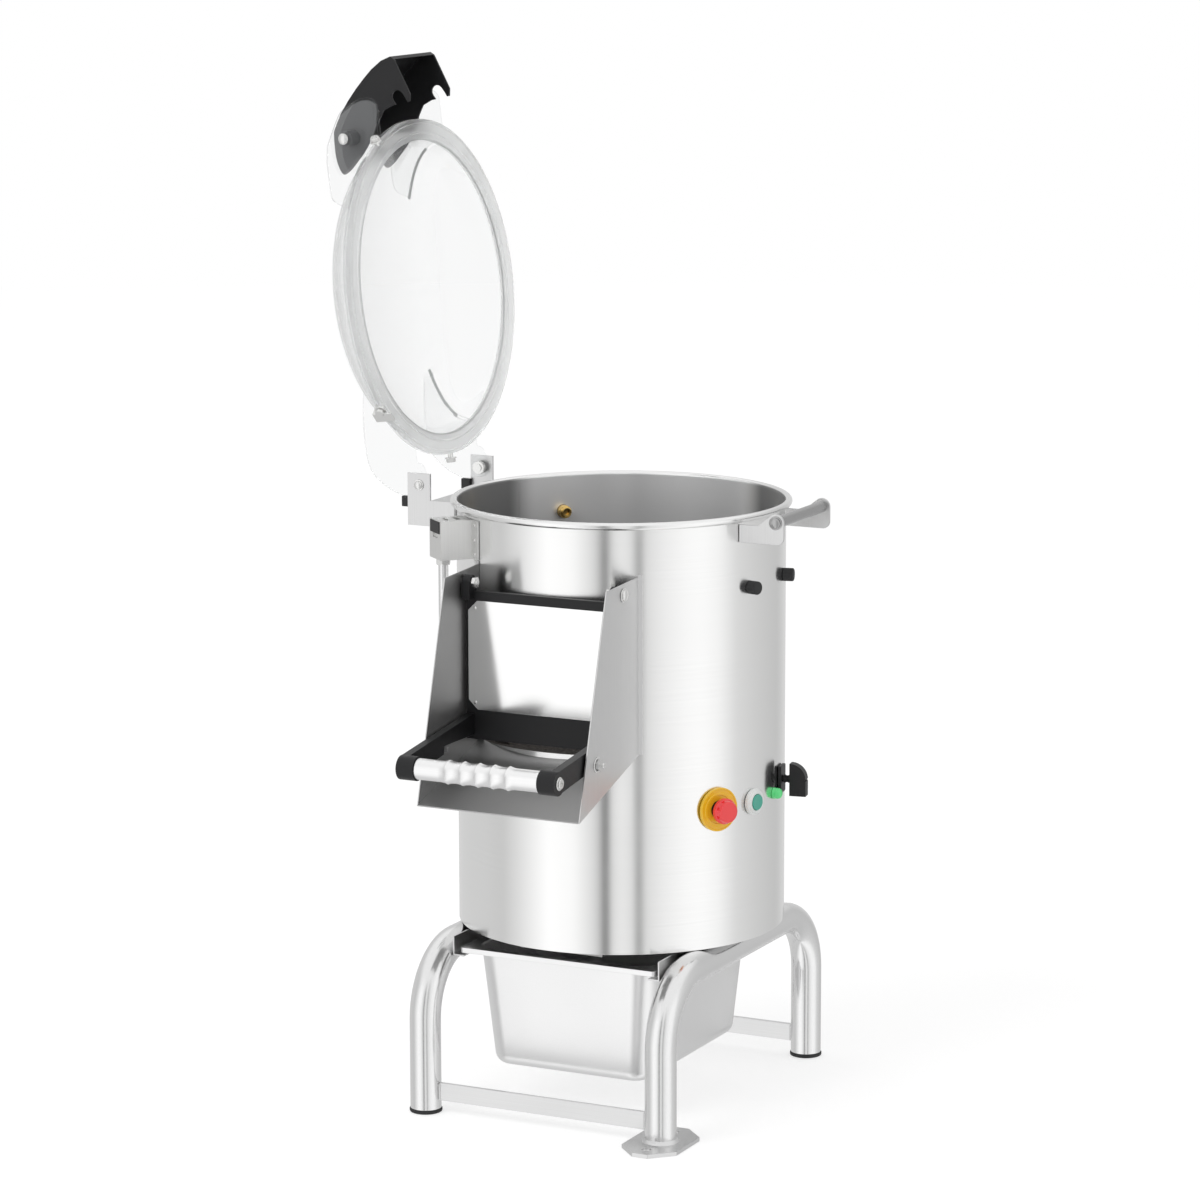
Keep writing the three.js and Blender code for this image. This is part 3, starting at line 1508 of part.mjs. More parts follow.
function waterNozzle() {
  const inside = drumInner - fitGap;
  const outside = drumRadius + fitGap;
  const profile = [
    [0, inside - nozzleInside], [nozzleRadius * nozzleTipShare, inside - nozzleInside],
    [nozzleRadius, inside - nozzleInside / 2], [nozzleRadius, outside],
    [nozzleFlangeRadius, outside], [nozzleFlangeRadius, outside + nozzleFlangeRadius],
    [nozzleRadius, outside + nozzleFlangeRadius], [nozzleRadius, outside + nozzleOutside],
    [0, outside + nozzleOutside],
  ];
  return spun(profile, 20, 'x', [0, 0, nozzleZ]);
}

function cableGland() {
  const inside = drumInner - fitGap;
  const outside = drumRadius + fitGap;
  const tip = outside + glandLength;
  const bore = glandBarrel / 2;
  const profile = [
    [bore, inside - glandLength / 2], [glandBarrel, inside - glandLength / 2], [glandBarrel, outside],
    [glandRadius, outside], [glandRadius, outside + glandLength / 2], [glandBarrel, tip], [bore, tip],
    [bore, inside - glandLength / 2],
  ];
  return spun(profile, 18, 'x', [0, 0, glandZ]);
}

function addServices(parent) {
  addPiece(radialGroup(parent, nozzleAngle), 'water_nozzle', waterNozzle(), 'brass');
  addPiece(radialGroup(parent, glandAngle), 'cable_gland', cableGland(), 'black');
}

// The whole machine, moved so that the origin is the middle of its footprint

const machine = new THREE.Group();
const body = new THREE.Group();
machine.add(body);
addStand(body);
addPan(body);
addDrum(body);
addDrive(body);
addChute(body);
addDoor(body);
addHinge(body);
addLid(body);
addCatch(body);
addSwitch(body);
addControls(body);
addServices(body);

machine.updateMatrixWorld(true);
const bounds = new THREE.Box3().setFromObject(machine, true);
const middle = bounds.getCenter(new THREE.Vector3());
body.position.set(-middle.x, -middle.y, 0);
machine.updateMatrixWorld(true);

export default machine;
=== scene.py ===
"""Electric potato peeler: the visual model.

A steel drum on a tube stand, with a clear hinged lid and its latch, a discharge chute
with a lifting door, the controls and a sliding peel pan. A piece is drawn in
millimetres about the drum's axis, and settled into the frame in metres.
"""

import json
import logging
import math
from collections.abc import Callable
from dataclasses import dataclass
from enum import Enum
from typing import ClassVar

import bpy
from mathutils import Matrix, Vector

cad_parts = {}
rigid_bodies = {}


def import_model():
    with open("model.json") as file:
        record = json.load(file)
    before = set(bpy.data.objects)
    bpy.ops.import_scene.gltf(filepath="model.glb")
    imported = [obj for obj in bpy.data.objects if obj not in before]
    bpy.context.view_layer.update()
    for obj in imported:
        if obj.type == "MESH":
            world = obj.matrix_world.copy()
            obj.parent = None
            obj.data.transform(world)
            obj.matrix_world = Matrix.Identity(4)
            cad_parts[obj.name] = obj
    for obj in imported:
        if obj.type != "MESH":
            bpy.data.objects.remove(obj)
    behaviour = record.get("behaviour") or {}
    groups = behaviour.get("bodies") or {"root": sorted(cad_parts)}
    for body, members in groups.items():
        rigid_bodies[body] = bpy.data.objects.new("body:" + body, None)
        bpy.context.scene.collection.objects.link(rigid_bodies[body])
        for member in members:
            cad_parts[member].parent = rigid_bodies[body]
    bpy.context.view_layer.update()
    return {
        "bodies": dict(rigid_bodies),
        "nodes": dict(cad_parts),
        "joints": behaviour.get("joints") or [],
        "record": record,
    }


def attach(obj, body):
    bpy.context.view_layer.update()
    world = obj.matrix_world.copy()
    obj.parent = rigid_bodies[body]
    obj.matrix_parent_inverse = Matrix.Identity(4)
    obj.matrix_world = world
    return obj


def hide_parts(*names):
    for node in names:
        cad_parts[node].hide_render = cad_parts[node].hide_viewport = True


logging.basicConfig(level=logging.INFO, format="%(message)s")
log = logging.getLogger("peeler")

Point = tuple[float, float]
Place = tuple[float, float, float]
Colour = tuple[float, float, float]

# The drum's axis in the frame, in metres
AXIS = Vector((0.05844670168, 0.0605, 0.0))
TO_METRES = Matrix.Translation(AXIS) @ Matrix.Scale(0.001, 4)
TO_MILLIMETRES = Matrix.Scale(1000.0, 4) @ Matrix.Translation(-AXIS)

# Millimetres under which two vertices are one, in a drawn piece and in a copied node
MERGE_GAP = 0.002
COPY_GAP = 0.01
# Degrees under which two facets of a copied node are one face
FLAT_ANGLE = 0.6
# How far a tool runs past what it cuts
OVERRUN = 1.0


class Body(Enum):
    """The bodies that pieces ride on."""

    MACHINE = "machine"
    DISC = "disc"
    LID = "lid"
    LATCH = "latch"
    DOOR = "door"
    PAN = "pan"
    STOP = "stop_button"
    START = "start_push"
    SELECTOR = "selector"


class Slot(Enum):
    """The record's material slots."""

    TUBE = "tube_steel"
    FLAT = "flat_steel"
    PAN = "pan_steel"
    CASING = "casing_steel"
    SHEET = "sheet_steel"
    BRIGHT = "bright_sheet"
    SWITCH = "switch_steel"
    MACHINED = "machined_steel"
    BOLT = "bolt_steel"
    HOUSING = "housing_iron"
    ABRASIVE = "abrasive"
    MOTOR = "motor_paint"
    GRIP = "grip_aluminium"
    BRASS = "nozzle_brass"
    BEZEL = "bezel_plastic"
    CLEAR = "clear_plastic"
    SEAL = "seal_plastic"
    BLACK = "black_plastic"
    DARK_GREY = "dark_grey_plastic"
    GREY = "grey_plastic"
    CONDUIT = "conduit_grey"
    YELLOW = "yellow_plastic"
    RED = "red_plastic"
    GREEN = "green_plastic"
    LAMP = "lamp_plastic"
    RUBBER = "black_rubber"
    BELT = "belt_rubber"


class Grain(Enum):
    """The way a brushed finish runs, as how far the noise is stretched along X, Y and Z."""

    LEVEL = (5.0, 5.0, 2600.0)
    UPRIGHT = (2600.0, 2600.0, 8.0)
    CROSSWISE = (8.0, 2600.0, 2600.0)
    EVEN = (900.0, 900.0, 900.0)


# Axes for pieces that are drawn about their own Z
ALONG_X = Matrix(((0, 0, 1, 0), (1, 0, 0, 0), (0, 1, 0, 0), (0, 0, 0, 1)))
FACING_FRONT = Matrix(((1, 0, 0, 0), (0, 0, -1, 0), (0, 1, 0, 0), (0, 0, 0, 1)))
ALONG_Y = Matrix(((0, 1, 0, 0), (0, 0, 1, 0), (1, 0, 0, 0), (0, 0, 0, 1)))
# For an outline that is drawn as X and height, and pushed along Y
SIDE_VIEW = Matrix(((1, 0, 0, 0), (0, 0, 1, 0), (0, 1, 0, 0), (0, 0, 0, 1)))


def shift(x: float, y: float, z: float) -> Matrix:
    """A plain move in millimetres.

    Args:
        x: Move along X.
        y: Move along Y.
        z: Move along Z.

    Returns:
        The matrix of the move.
    """
    return Matrix.Translation((x, y, z))


def turn(degrees: float, axis: str) -> Matrix:
    """A turn about an axis through the origin.

    Args:
        degrees: Angle of the turn.
        axis: Name of the axis, X, Y or Z.

    Returns:
        The matrix of the turn.
    """
    return Matrix.Rotation(math.radians(degrees), 4, axis)


def facing(side: int) -> Matrix:
    """Leaves a piece as it is on the positive side, and turns it round on the other.

    Args:
        side: 1, or -1 for the turned side.

    Returns:
        The matrix of the turn.
    """
    return Matrix.Identity(4) if side > 0 else turn(180, "Z")


def out_of_drum(angle: float, reach: float, height: float, side: float = 0.0) -> Matrix:
    """Sets a piece drawn about Z so that its Z points straight out of the drum.

    Args:
        angle: Degrees round the drum, counted from +X.
        reach: Distance of the piece's base from the drum's axis.
        height: Height above the floor.
        side: Sideways step before the turn.

    Returns:
        The placing matrix.
    """
    return turn(angle, "Z") @ shift(reach, side, height) @ ALONG_X


class Spot(Enum):
    """Places on the drum's wall, as degrees round it and height above the floor."""

    STOP = (-29.1, 384.0)
    START = (-12.2, 384.0)
    LAMP = (2.8, 384.0)
    SELECTOR = (10.0, 397.0)
    NOZZLE = (137.7, 687.0)
    GLAND = (118.0, 246.0)

    def out(self, reach: float) -> Matrix:
        """Sets a piece drawn about Z so that it points out of the drum here.

        Args:
            reach: Distance of the piece's base from the drum's axis.

        Returns:
            The placing matrix.
        """
        angle, height = self.value
        return out_of_drum(angle, reach, height)


def round_arc(centre: Point, radius: float, start: float, end: float, steps: int) -> list[Point]:
    """Points along an arc.

    Args:
        centre: Centre of the arc.
        radius: Its radius.
        start: First angle in degrees.
        end: Last angle in degrees.
        steps: Number of steps between them.

    Returns:
        The points, both ends included.
    """
    angles = [math.radians(start + (end - start) * i / steps) for i in range(steps + 1)]
    return [(centre[0] + radius * math.cos(a), centre[1] + radius * math.sin(a)) for a in angles]


def rounded_box(half_x: float, half_y: float, corner: float, steps: int = 8) -> list[Point]:
    """The outline of a rectangle with round corners.

    Args:
        half_x: Half its width.
        half_y: Half its depth.
        corner: Radius of the corners.
        steps: Steps in each corner.

    Returns:
        The outline's points.
    """
    x, y = half_x - corner, half_y - corner
    outline: list[Point] = []
    for cx, cy, start in ((x, y, 0), (-x, y, 90), (-x, -y, 180), (x, -y, 270)):
        outline += round_arc((cx, cy), corner, start, start + 90, steps)
    return outline


def cut_corners(low: Point, high: Point, corner: float) -> list[Point]:
    """The outline of a rectangle with cut corners.

    Args:
        low: Its lowest corner.
        high: Its highest corner.
        corner: Length cut off along each side.

    Returns:
        The outline's points.
    """
    (x0, y0), (x1, y1) = low, high
    return [
        (x0 + corner, y0), (x1 - corner, y0), (x1, y0 + corner), (x1, y1 - corner),
        (x1 - corner, y1), (x0 + corner, y1), (x0, y1 - corner), (x0, y0 + corner),
    ]


def cornered(count: int, *radii: float) -> list[Point]:
    """The outline of a polygon whose corners take the radii in turn.

    Args:
        count: Number of corners.
        *radii: Radii of the corners, used over and over.

    Returns:
        The outline's points.
    """
    outline: list[Point] = []
    for i in range(count):
        radius, angle = radii[i % len(radii)], math.radians(360 / count * i)
        outline.append((radius * math.cos(angle), radius * math.sin(angle)))
    return outline


def flowing(points: list[Point], steps: int = 5) -> list[Point]:
    """A smooth curve through points, by Catmull-Rom.

    Args:
        points: The points it passes through.
        steps: Steps between two of them.

    Returns:
        The finer list of points.
    """
    fine: list[Point] = []
    ends = [points[0], *points, points[-1]]
    for i in range(len(points) - 1):
        a, b, c, d = (Vector(p) for p in ends[i:i + 4])
        for step in range(steps):
            t = step / steps
            squared = (2 * a - 5 * b + 4 * c - d) * t**2
            cubed = (3 * b - a - 3 * c + d) * t**3
            spot = 0.5 * (2 * b + (c - a) * t + squared + cubed)
            fine.append((spot.x, spot.y))
    fine.append(points[-1])
    return fine


@dataclass(frozen=True)
class Run:
    """A straight stretch of a tube."""

    step: Place


@dataclass(frozen=True)
class Bend:
    """A bend of a tube about an axis through a centre."""

    centre: Place
    axis: Place
    degrees: float
    steps: int = 16


class Bench:
    """One piece on the bench: a mesh drawn in millimetres."""

    def __init__(self, obj: bpy.types.Object) -> None:
        """Takes an object onto the bench.

        Args:
            obj: The mesh object to work on.
        """
        self.obj = obj

    @staticmethod
    def clear() -> None:
        """Leaves object mode on with nothing selected."""
        if bpy.context.object and bpy.context.object.mode != "OBJECT":
            bpy.ops.object.mode_set(mode="OBJECT")
        bpy.ops.object.select_all(action="DESELECT")

    def take(self) -> None:
        """Selects this piece alone."""
        self.clear()
        self.obj.select_set(True)
        bpy.context.view_layer.objects.active = self.obj

    def edit(self) -> None:
        """Opens the piece in edit mode with all of it selected."""
        self.take()
        bpy.ops.object.mode_set(mode="EDIT")
        bpy.context.tool_settings.mesh_select_mode = (True, False, False)
        bpy.ops.mesh.select_all(action="SELECT")

    @classmethod
    def chain(cls, points: list[Place]) -> "Bench":
        """Draws a line of edges by extruding one vertex from point to point.

        Args:
            points: The points to pass through.

        Returns:
            The piece, left in edit mode.
        """
        cls.clear()
        bpy.ops.mesh.primitive_plane_add(size=1.0, location=(0, 0, 0))
        piece = cls(bpy.context.object)
        piece.edit()
        bpy.ops.mesh.merge(type="CENTER")
        bpy.ops.transform.translate(value=points[0])
        for here, there in zip(points, points[1:]):
            step = Vector(there) - Vector(here)
            bpy.ops.mesh.extrude_vertices_move(TRANSFORM_OT_translate={"value": tuple(step)})
        bpy.ops.mesh.select_all(action="SELECT")
        return piece

    def close_up(self) -> "Bench":
        """Merges doubles and turns all faces outward, from edit mode.

        Returns:
            This piece, back in object mode.
        """
        bpy.ops.mesh.select_all(action="SELECT")
        bpy.ops.mesh.remove_doubles(threshold=MERGE_GAP)
        bpy.ops.mesh.delete_loose(use_verts=True, use_edges=True, use_faces=False)
        bpy.ops.mesh.select_all(action="SELECT")
        bpy.ops.mesh.normals_make_consistent(inside=False)
        bpy.ops.object.mode_set(mode="OBJECT")
        return self

    def close_sheet(self) -> "Bench":
        """Merges doubles of an open sheet and keeps its upper face outward, from edit mode.

        Returns:
            This piece, back in object mode.
        """
        bpy.ops.mesh.select_all(action="SELECT")
        bpy.ops.mesh.remove_doubles(threshold=MERGE_GAP)
        bpy.ops.mesh.normals_make_consistent(inside=False)
        bpy.ops.object.mode_set(mode="OBJECT")
        lowest = min(self.obj.data.polygons, key=lambda face: face.center.z)
        if lowest.normal.z < 0:
            self.edit()
            bpy.ops.mesh.flip_normals()
            bpy.ops.object.mode_set(mode="OBJECT")
        return self

    @classmethod
    def turned(cls, profile: list[Point], steps: int = 64) -> "Bench":
        """A body of revolution about Z.

        Args:
            profile: Points as radius and height, from axis to axis or back to the first.
            steps: Steps round the axis.

        Returns:
            The closed piece.
        """
        piece = cls.chain([(radius, 0.0, height) for radius, height in profile])
        bpy.ops.mesh.spin(steps=steps, angle=2 * math.pi, center=(0, 0, 0), axis=(0, 0, 1))
        return piece.close_up()

    @classmethod
    def plate(cls, outline: list[Point], low: float, high: float) -> "Bench":
        """A flat outline pushed along Z.

        Args:
            outline: Points round the outline.
            low: Height of its underside.
            high: Height of its top.

        Returns:
            The closed piece.
        """
        piece = cls.chain([(x, y, low) for x, y in outline])
        bpy.ops.mesh.edge_face_add()
        bpy.ops.mesh.extrude_region_move(TRANSFORM_OT_translate={"value": (0, 0, high - low)})
        return piece.close_up()

    @classmethod
    def block(cls, low: Place, high: Place) -> "Bench":
        """A plain block, to be cut or cut with.

        Args:
            low: Lowest corner.
            high: Highest corner.

        Returns:
            The block.
        """
        outline = [(low[0], low[1]), (high[0], low[1]), (high[0], high[1]), (low[0], high[1])]
        return cls.plate(outline, low[2], high[2])

    @classmethod
    def rod(cls, radius: float, low: float, high: float, sides: int = 32) -> "Bench":
        """A plain rod about Z, to be cut with.

        Args:
            radius: Radius of the rod.
            low: Height of its underside.
            high: Height of its top.
            sides: Number of sides.

        Returns:
            The rod.
        """
        return cls.turned([(0, low), (radius, low), (radius, high), (0, high)], sides)

    @classmethod
    def tube(cls, radius: float, start: Place, moves: list[Run | Bend], sides: int = 48) -> "Bench":
        """A round bar drawn out of a circle by straight runs and bends.

        Args:
            radius: Radius of the bar.
            start: Centre of its first end, which lies level.
            moves: The runs and bends in order.
            sides: Sides of the circle.

        Returns:
            The closed piece.
        """
        cls.clear()
        bpy.ops.mesh.primitive_circle_add(
            vertices=sides, radius=radius, fill_type="NGON", location=(0, 0, 0)
        )
        piece = cls(bpy.context.object)
        piece.edit()
        bpy.ops.transform.translate(value=start)
        for move in moves:
            if isinstance(move, Run):
                bpy.ops.mesh.extrude_region_move(TRANSFORM_OT_translate={"value": move.step})
            else:
                bpy.ops.mesh.spin(
                    steps=move.steps, angle=math.radians(move.degrees),
                    center=move.centre, axis=move.axis, use_auto_merge=False,
                )
        return piece.close_up()

    @classmethod
    def bead(cls, points: list[Place], radius: float) -> "Bench":
        """A thin round bead along a line of points.

        Args:
            points: The points it follows.
            radius: Its radius.

        Returns:
            The closed piece.
        """
        piece = cls.chain(points)
        bpy.ops.object.mode_set(mode="OBJECT")
        bpy.ops.object.convert(target="CURVE")
        line = bpy.context.object.data
        line.bevel_depth = radius
        line.bevel_resolution = 3
        line.use_fill_caps = True
        bpy.ops.object.convert(target="MESH")
        piece.obj = bpy.context.object
        piece.edit()
        return piece.close_up()

    @classmethod
    def from_node(cls, node: bpy.types.Object) -> "Bench":
        """A copy of a CAD node's mesh with its facets joined into whole faces.

        Args:
            node: The CAD node to copy.

        Returns:
            The copy, in millimetres about the drum's axis.
        """
        mesh = node.data.copy()
        mesh.transform(TO_MILLIMETRES @ node.matrix_world)
        mesh.materials.clear()
        obj = bpy.data.objects.new(f"{node.name}_copy", mesh)
        bpy.context.scene.collection.objects.link(obj)
        piece = cls(obj)
        piece.take()
        bpy.ops.mesh.customdata_custom_splitnormals_clear()
        piece.edit()
        bpy.ops.mesh.remove_doubles(threshold=COPY_GAP)
        bpy.ops.mesh.dissolve_limited(angle_limit=math.radians(FLAT_ANGLE))
        return piece.close_up()

    def copy(self) -> "Bench":
        """Copies the piece with a mesh of its own.

        Returns:
            The copy.
        """
        twin = self.obj.copy()
        twin.data = self.obj.data.copy()
        bpy.context.scene.collection.objects.link(twin)
        return Bench(twin)

    def placed(self, matrix: Matrix) -> "Bench":
        """Moves the mesh itself.

        Args:
            matrix: Where to, in millimetres.

        Returns:
            This piece.
        """
        self.obj.data.transform(matrix)
        if matrix.determinant() < 0:
            self.edit()
            self.close_up()
        return self

    def modify(self, kind: str, **settings: object) -> "Bench":
        """Adds a modifier and applies it.

        Args:
            kind: Blender's name of the modifier.
            **settings: Its settings.

        Returns:
            This piece.
        """
        self.take()
        modifier = self.obj.modifiers.new(kind.lower(), kind)
        for key, value in settings.items():
            setattr(modifier, key, value)
        bpy.ops.object.modifier_apply(modifier=modifier.name)
        return self

    def eased(self, width: float, segments: int = 2, angle: float = 28.0) -> "Bench":
        """Rounds the sharp edges.

        Args:
            width: Width of the rounding.
            segments: Steps across it.
            angle: Edges sharper than this many degrees are rounded.

        Returns:
            This piece.
        """
        return self.modify(
            "BEVEL", width=width, segments=segments, limit_method="ANGLE",
            angle_limit=math.radians(angle), use_clamp_overlap=True, miter_outer="MITER_ARC",
        )

    def combined(self, operation: str, others: list["Bench"]) -> "Bench":
        """Cuts, joins or meets with other pieces, which are used up.

        Args:
            operation: DIFFERENCE, UNION or INTERSECT.
            others: The other pieces.

        Returns:
            This piece.
        """
        for other in others:
            self.modify("BOOLEAN", operation=operation, solver="EXACT", object=other.obj)
            bpy.data.objects.remove(other.obj)
        return self

    def cut(self, *tools: "Bench") -> "Bench":
        """Cuts tools out of the piece.

        Args:
            *tools: The tools, which are used up.

        Returns:
            This piece.
        """
        return self.combined("DIFFERENCE", list(tools))

    def with_parts(self, *parts: "Bench") -> "Bench":
        """Takes small parts into this piece's mesh as shells of their own.

        Args:
            *parts: The parts, which are used up.

        Returns:
            This piece.
        """
        self.take()
        for part in parts:
            part.obj.select_set(True)
        bpy.ops.object.join()
        return self


class Graph:
    """Small helper that lays out a material's or the world's nodes."""

    def __init__(self, tree: bpy.types.NodeTree) -> None:
        """Empties the tree.

        Args:
            tree: The node tree to fill.
        """
        self.tree = tree
        tree.nodes.clear()

    def add(
        self, kind: str, inputs: dict[str | int, object] | None = None, **settings: object
    ) -> bpy.types.Node:
        """Adds a node.

        Args:
            kind: Its class name.
            inputs: Values or sockets for its inputs, by name or number.
            **settings: Its settings.

        Returns:
            The node.
        """
        node = self.tree.nodes.new(kind)
        for key, value in settings.items():
            setattr(node, key, value)
        for key, value in (inputs or {}).items():
            if isinstance(value, bpy.types.NodeSocket):
                self.tree.links.new(value, node.inputs[key])
            else:
                node.inputs[key].default_value = value
        return node

    def spots(self, scale: Place = (1.0, 1.0, 1.0)) -> bpy.types.NodeSocket:
        """The object's own coordinates about the drum's axis, stretched.

        Args:
            scale: Stretch along each axis.

        Returns:
            The vector socket.
        """
        source = self.add("ShaderNodeTexCoord")
        move = tuple(-AXIS[i] * scale[i] for i in range(3))
        mapping = self.add(
            "ShaderNodeMapping",
            {"Vector": source.outputs["Object"], "Scale": scale, "Location": move},
        )
        return mapping.outputs["Vector"]

    def noise(
        self, vector: bpy.types.NodeSocket, scale: float, detail: float = 2.0
    ) -> bpy.types.NodeSocket:
        """A noise value.

        Args:
            vector: Where it is read.
            scale: Its fineness.
            detail: Its detail.

        Returns:
            The value socket.
        """
        node = self.add("ShaderNodeTexNoise", {"Vector": vector, "Scale": scale, "Detail": detail})
        return node.outputs["Fac"]

    def sum(self, operation: str, first: object, second: object = 0.0) -> bpy.types.NodeSocket:
        """One step of arithmetic.

        Args:
            operation: Blender's name of the step.
            first: First value or socket.
            second: Second value or socket.

        Returns:
            The value socket.
        """
        return self.add("ShaderNodeMath", {0: first, 1: second}, operation=operation).outputs[0]

    def span(
        self, value: object, low: float, high: float, to_low: float, to_high: float
    ) -> bpy.types.NodeSocket:
        """Maps a range of values onto another, smoothly and clamped.

        Args:
            value: The value or socket.
            low: Start of its range.
            high: End of its range.
            to_low: What the start becomes.
            to_high: What the end becomes.

        Returns:
            The value socket.
        """
        node = self.add(
            "ShaderNodeMapRange",
            {"Value": value, "From Min": low, "From Max": high, "To Min": to_low, "To Max": to_high},
            interpolation_type="SMOOTHSTEP",
        )
        return node.outputs[0]

    def swing(self, noise: bpy.types.NodeSocket, low: float, high: float) -> bpy.types.NodeSocket:
        """Spreads the middle of a noise over a range.

        Args:
            noise: The noise.
            low: Start of the range.
            high: End of the range.

        Returns:
            The value socket.
        """
        return self.span(noise, 0.3, 0.7, low, high)

    def mixed(self, factor: object, first: object, second: object) -> bpy.types.NodeSocket:
        """Mixes two colours.

        Args:
            factor: How much of the second.
            first: First colour or socket.
            second: Second colour or socket.

        Returns:
            The colour socket.
        """
        values = [v if isinstance(v, bpy.types.NodeSocket) else (*v, 1.0) for v in (first, second)]
        node = self.add("ShaderNodeMix", {0: factor, 6: values[0], 7: values[1]}, data_type="RGBA")
        return node.outputs[2]

    def bump(self, height: object, strength: float, depth: float) -> bpy.types.NodeSocket:
        """A bumped normal.

        Args:
            height: Height socket.
            strength: How strong it reads.
            depth: Depth of the bumps in metres.

        Returns:
            The normal socket.
        """
        node = self.add("ShaderNodeBump", {"Height": height, "Strength": strength, "Distance": depth})
        return node.outputs["Normal"]

    def by_ray(
        self, straight: bpy.types.Node, mirrored: bpy.types.Node, other: bpy.types.Node
    ) -> bpy.types.NodeSocket:
        """Shows each kind of ray its own shader.

        Args:
            straight: What is seen straight on, or through the clear lid.
            mirrored: What the metal mirrors.
            other: What all other rays meet.

        Returns:
            The shader socket.
        """
        path = self.add("ShaderNodeLightPath").outputs
        direct = self.sum("MAXIMUM", path["Is Camera Ray"], path["Is Transmission Ray"])
        first = self.add("ShaderNodeMixShader", {0: direct, 1: other.outputs[0], 2: straight.outputs[0]})
        glossy = path["Is Glossy Ray"]
        last = self.add("ShaderNodeMixShader", {0: glossy, 1: first.outputs[0], 2: mirrored.outputs[0]})
        return last.outputs[0]

    def finish(self, shader: bpy.types.NodeSocket, output: str = "ShaderNodeOutputMaterial") -> None:
        """Ends the tree in its output.

        Args:
            shader: The last shader.
            output: Class name of the output node.
        """
        self.add(output, {"Surface": shader})


@dataclass(frozen=True)
class Finish:
    """What every finish has: a colour, a roughness and how it is built."""

    colour: Colour
    roughness: float

    def build(self, name: str) -> bpy.types.Material:
        """Builds the material.

        Args:
            name: Its name.

        Returns:
            The material.
        """
        material = bpy.data.materials.new(name)
        material.use_nodes = True
        material.diffuse_color = (*self.colour, 1.0)
        graph = Graph(material.node_tree)
        graph.finish(self.surface(graph))
        return material

    def surface(self, graph: Graph) -> bpy.types.NodeSocket:
        """Lays out the surface.

        Args:
            graph: The tree to fill.

        Returns:
            The shader socket.
        """
        raise NotImplementedError


@dataclass(frozen=True)
class Steel(Finish):
    """Metal with a grain: brushed, rolled or polished."""

    grain: Grain = Grain.LEVEL
    anisotropic: float = 0.0
    scratch: float = 0.03
    patchiness: float = 0.03
    inner_radius: float = 0.0
    inner_half: float = 0.0
    # Painted shade: the inner face's colour, darker than the outer face because the inside lies in shade
    painted_shade_inner_colour: Colour = (0.5, 0.5, 0.5)
    inner_roughness: float = 0.12
    # Painted light: a lighter inner colour on the drum's rear inner wall, where light from above falls, with
    # the way across the drum and the range over which it fades in
    painted_light_rear_colour: Colour | None = None
    painted_light_way: Point = (-0.309, 0.951)
    painted_light_start: float = 0.118
    painted_light_end: float = 0.152
    inner_dulling: float = 0.35
    streak_detail: float = 4.0
    cloud_scale: float = 9.0
    cloud_detail: float = 3.0
    cloud_depth: float = 0.02
    level_turn: float = 0.25
    scratch_depth: float = 0.0002

    def surface(self, graph: Graph) -> bpy.types.NodeSocket:
        """Lays out the metal.

        Args:
            graph: The tree to fill.

        Returns:
            The shader socket.
        """
        streaks = graph.noise(graph.spots(self.grain.value), 1.0, self.streak_detail)
        clouds = graph.noise(graph.spots(), self.cloud_scale, self.cloud_detail)
        dark = tuple(c * (1.0 - self.patchiness) for c in self.colour)
        light = tuple(min(c * (1.0 + self.patchiness), 1.0) for c in self.colour)
        colour = graph.mixed(graph.swing(streaks, 0.0, 1.0), dark, light)
        cloudy = graph.swing(clouds, -self.cloud_depth, self.cloud_depth)
        roughness = graph.sum("ADD", cloudy, self.roughness)
        if self.inner_radius or self.inner_half:
            inside = self.inside(graph)
            # Painted shade on the inner face, with painted light on the rear of the drum's inner wall
            colour = graph.mixed(inside, colour, self.painted_inner_light_and_shade(graph))
            rougher = graph.sum("MULTIPLY", inside, self.inner_roughness)
            roughness = graph.sum("ADD", roughness, rougher)
        metallic: object = 1.0
        if self.painted_light_rear_colour is not None:
            metallic = graph.sum("SUBTRACT", 1.0, graph.sum("MULTIPLY", inside, self.inner_dulling))
        tangent = graph.add("ShaderNodeTangent", direction_type="RADIAL", axis="Z")
        shader = graph.add(
            "ShaderNodeBsdfPrincipled",
            {
                "Base Color": colour, "Metallic": metallic, "Roughness": roughness,
                "Anisotropic": self.anisotropic,
                "Anisotropic Rotation": self.level_turn if self.grain is Grain.LEVEL else 0.0,
                "Tangent": tangent.outputs[0],
                "Normal": graph.bump(streaks, self.scratch, self.scratch_depth),
            },
        )
        return shader.outputs[0]

    def painted_inner_light_and_shade(self, graph: Graph) -> object:
        """The inner face's colour: a painted shade, lightened by a painted light on the rear of the drum's
        inner wall where one is given.

        Args:
            graph: The tree to fill.

        Returns:
            A colour or a colour socket.
        """
        if self.painted_light_rear_colour is None:
            return self.painted_shade_inner_colour
        parts = graph.add("ShaderNodeSeparateXYZ", {0: graph.spots()})
        across, along = (graph.sum("MULTIPLY", parts.outputs[i], self.painted_light_way[i]) for i in (0, 1))
        back = graph.sum("ADD", across, along)
        share = graph.span(back, self.painted_light_start, self.painted_light_end, 0.0, 1.0)
        return graph.mixed(share, self.painted_shade_inner_colour, self.painted_light_rear_colour)

    def inside(self, graph: Graph) -> bpy.types.NodeSocket:
        """Tells the inner face of the drum or the chute, which gets the painted shade, from the outer one.

        Args:
            graph: The tree to fill.

        Returns:
            A socket that is 1 on the inner face.
        """
        parts = graph.add("ShaderNodeSeparateXYZ", {0: graph.spots()})
        if self.inner_half:
            across = graph.sum("ABSOLUTE", parts.outputs[0])
            return graph.sum("LESS_THAN", across, self.inner_half)
        squares = (graph.sum("MULTIPLY", parts.outputs[i], parts.outputs[i]) for i in (0, 1))
        reach = graph.sum("SQRT", graph.sum("ADD", *squares))
        return graph.sum("LESS_THAN", reach, self.inner_radius)


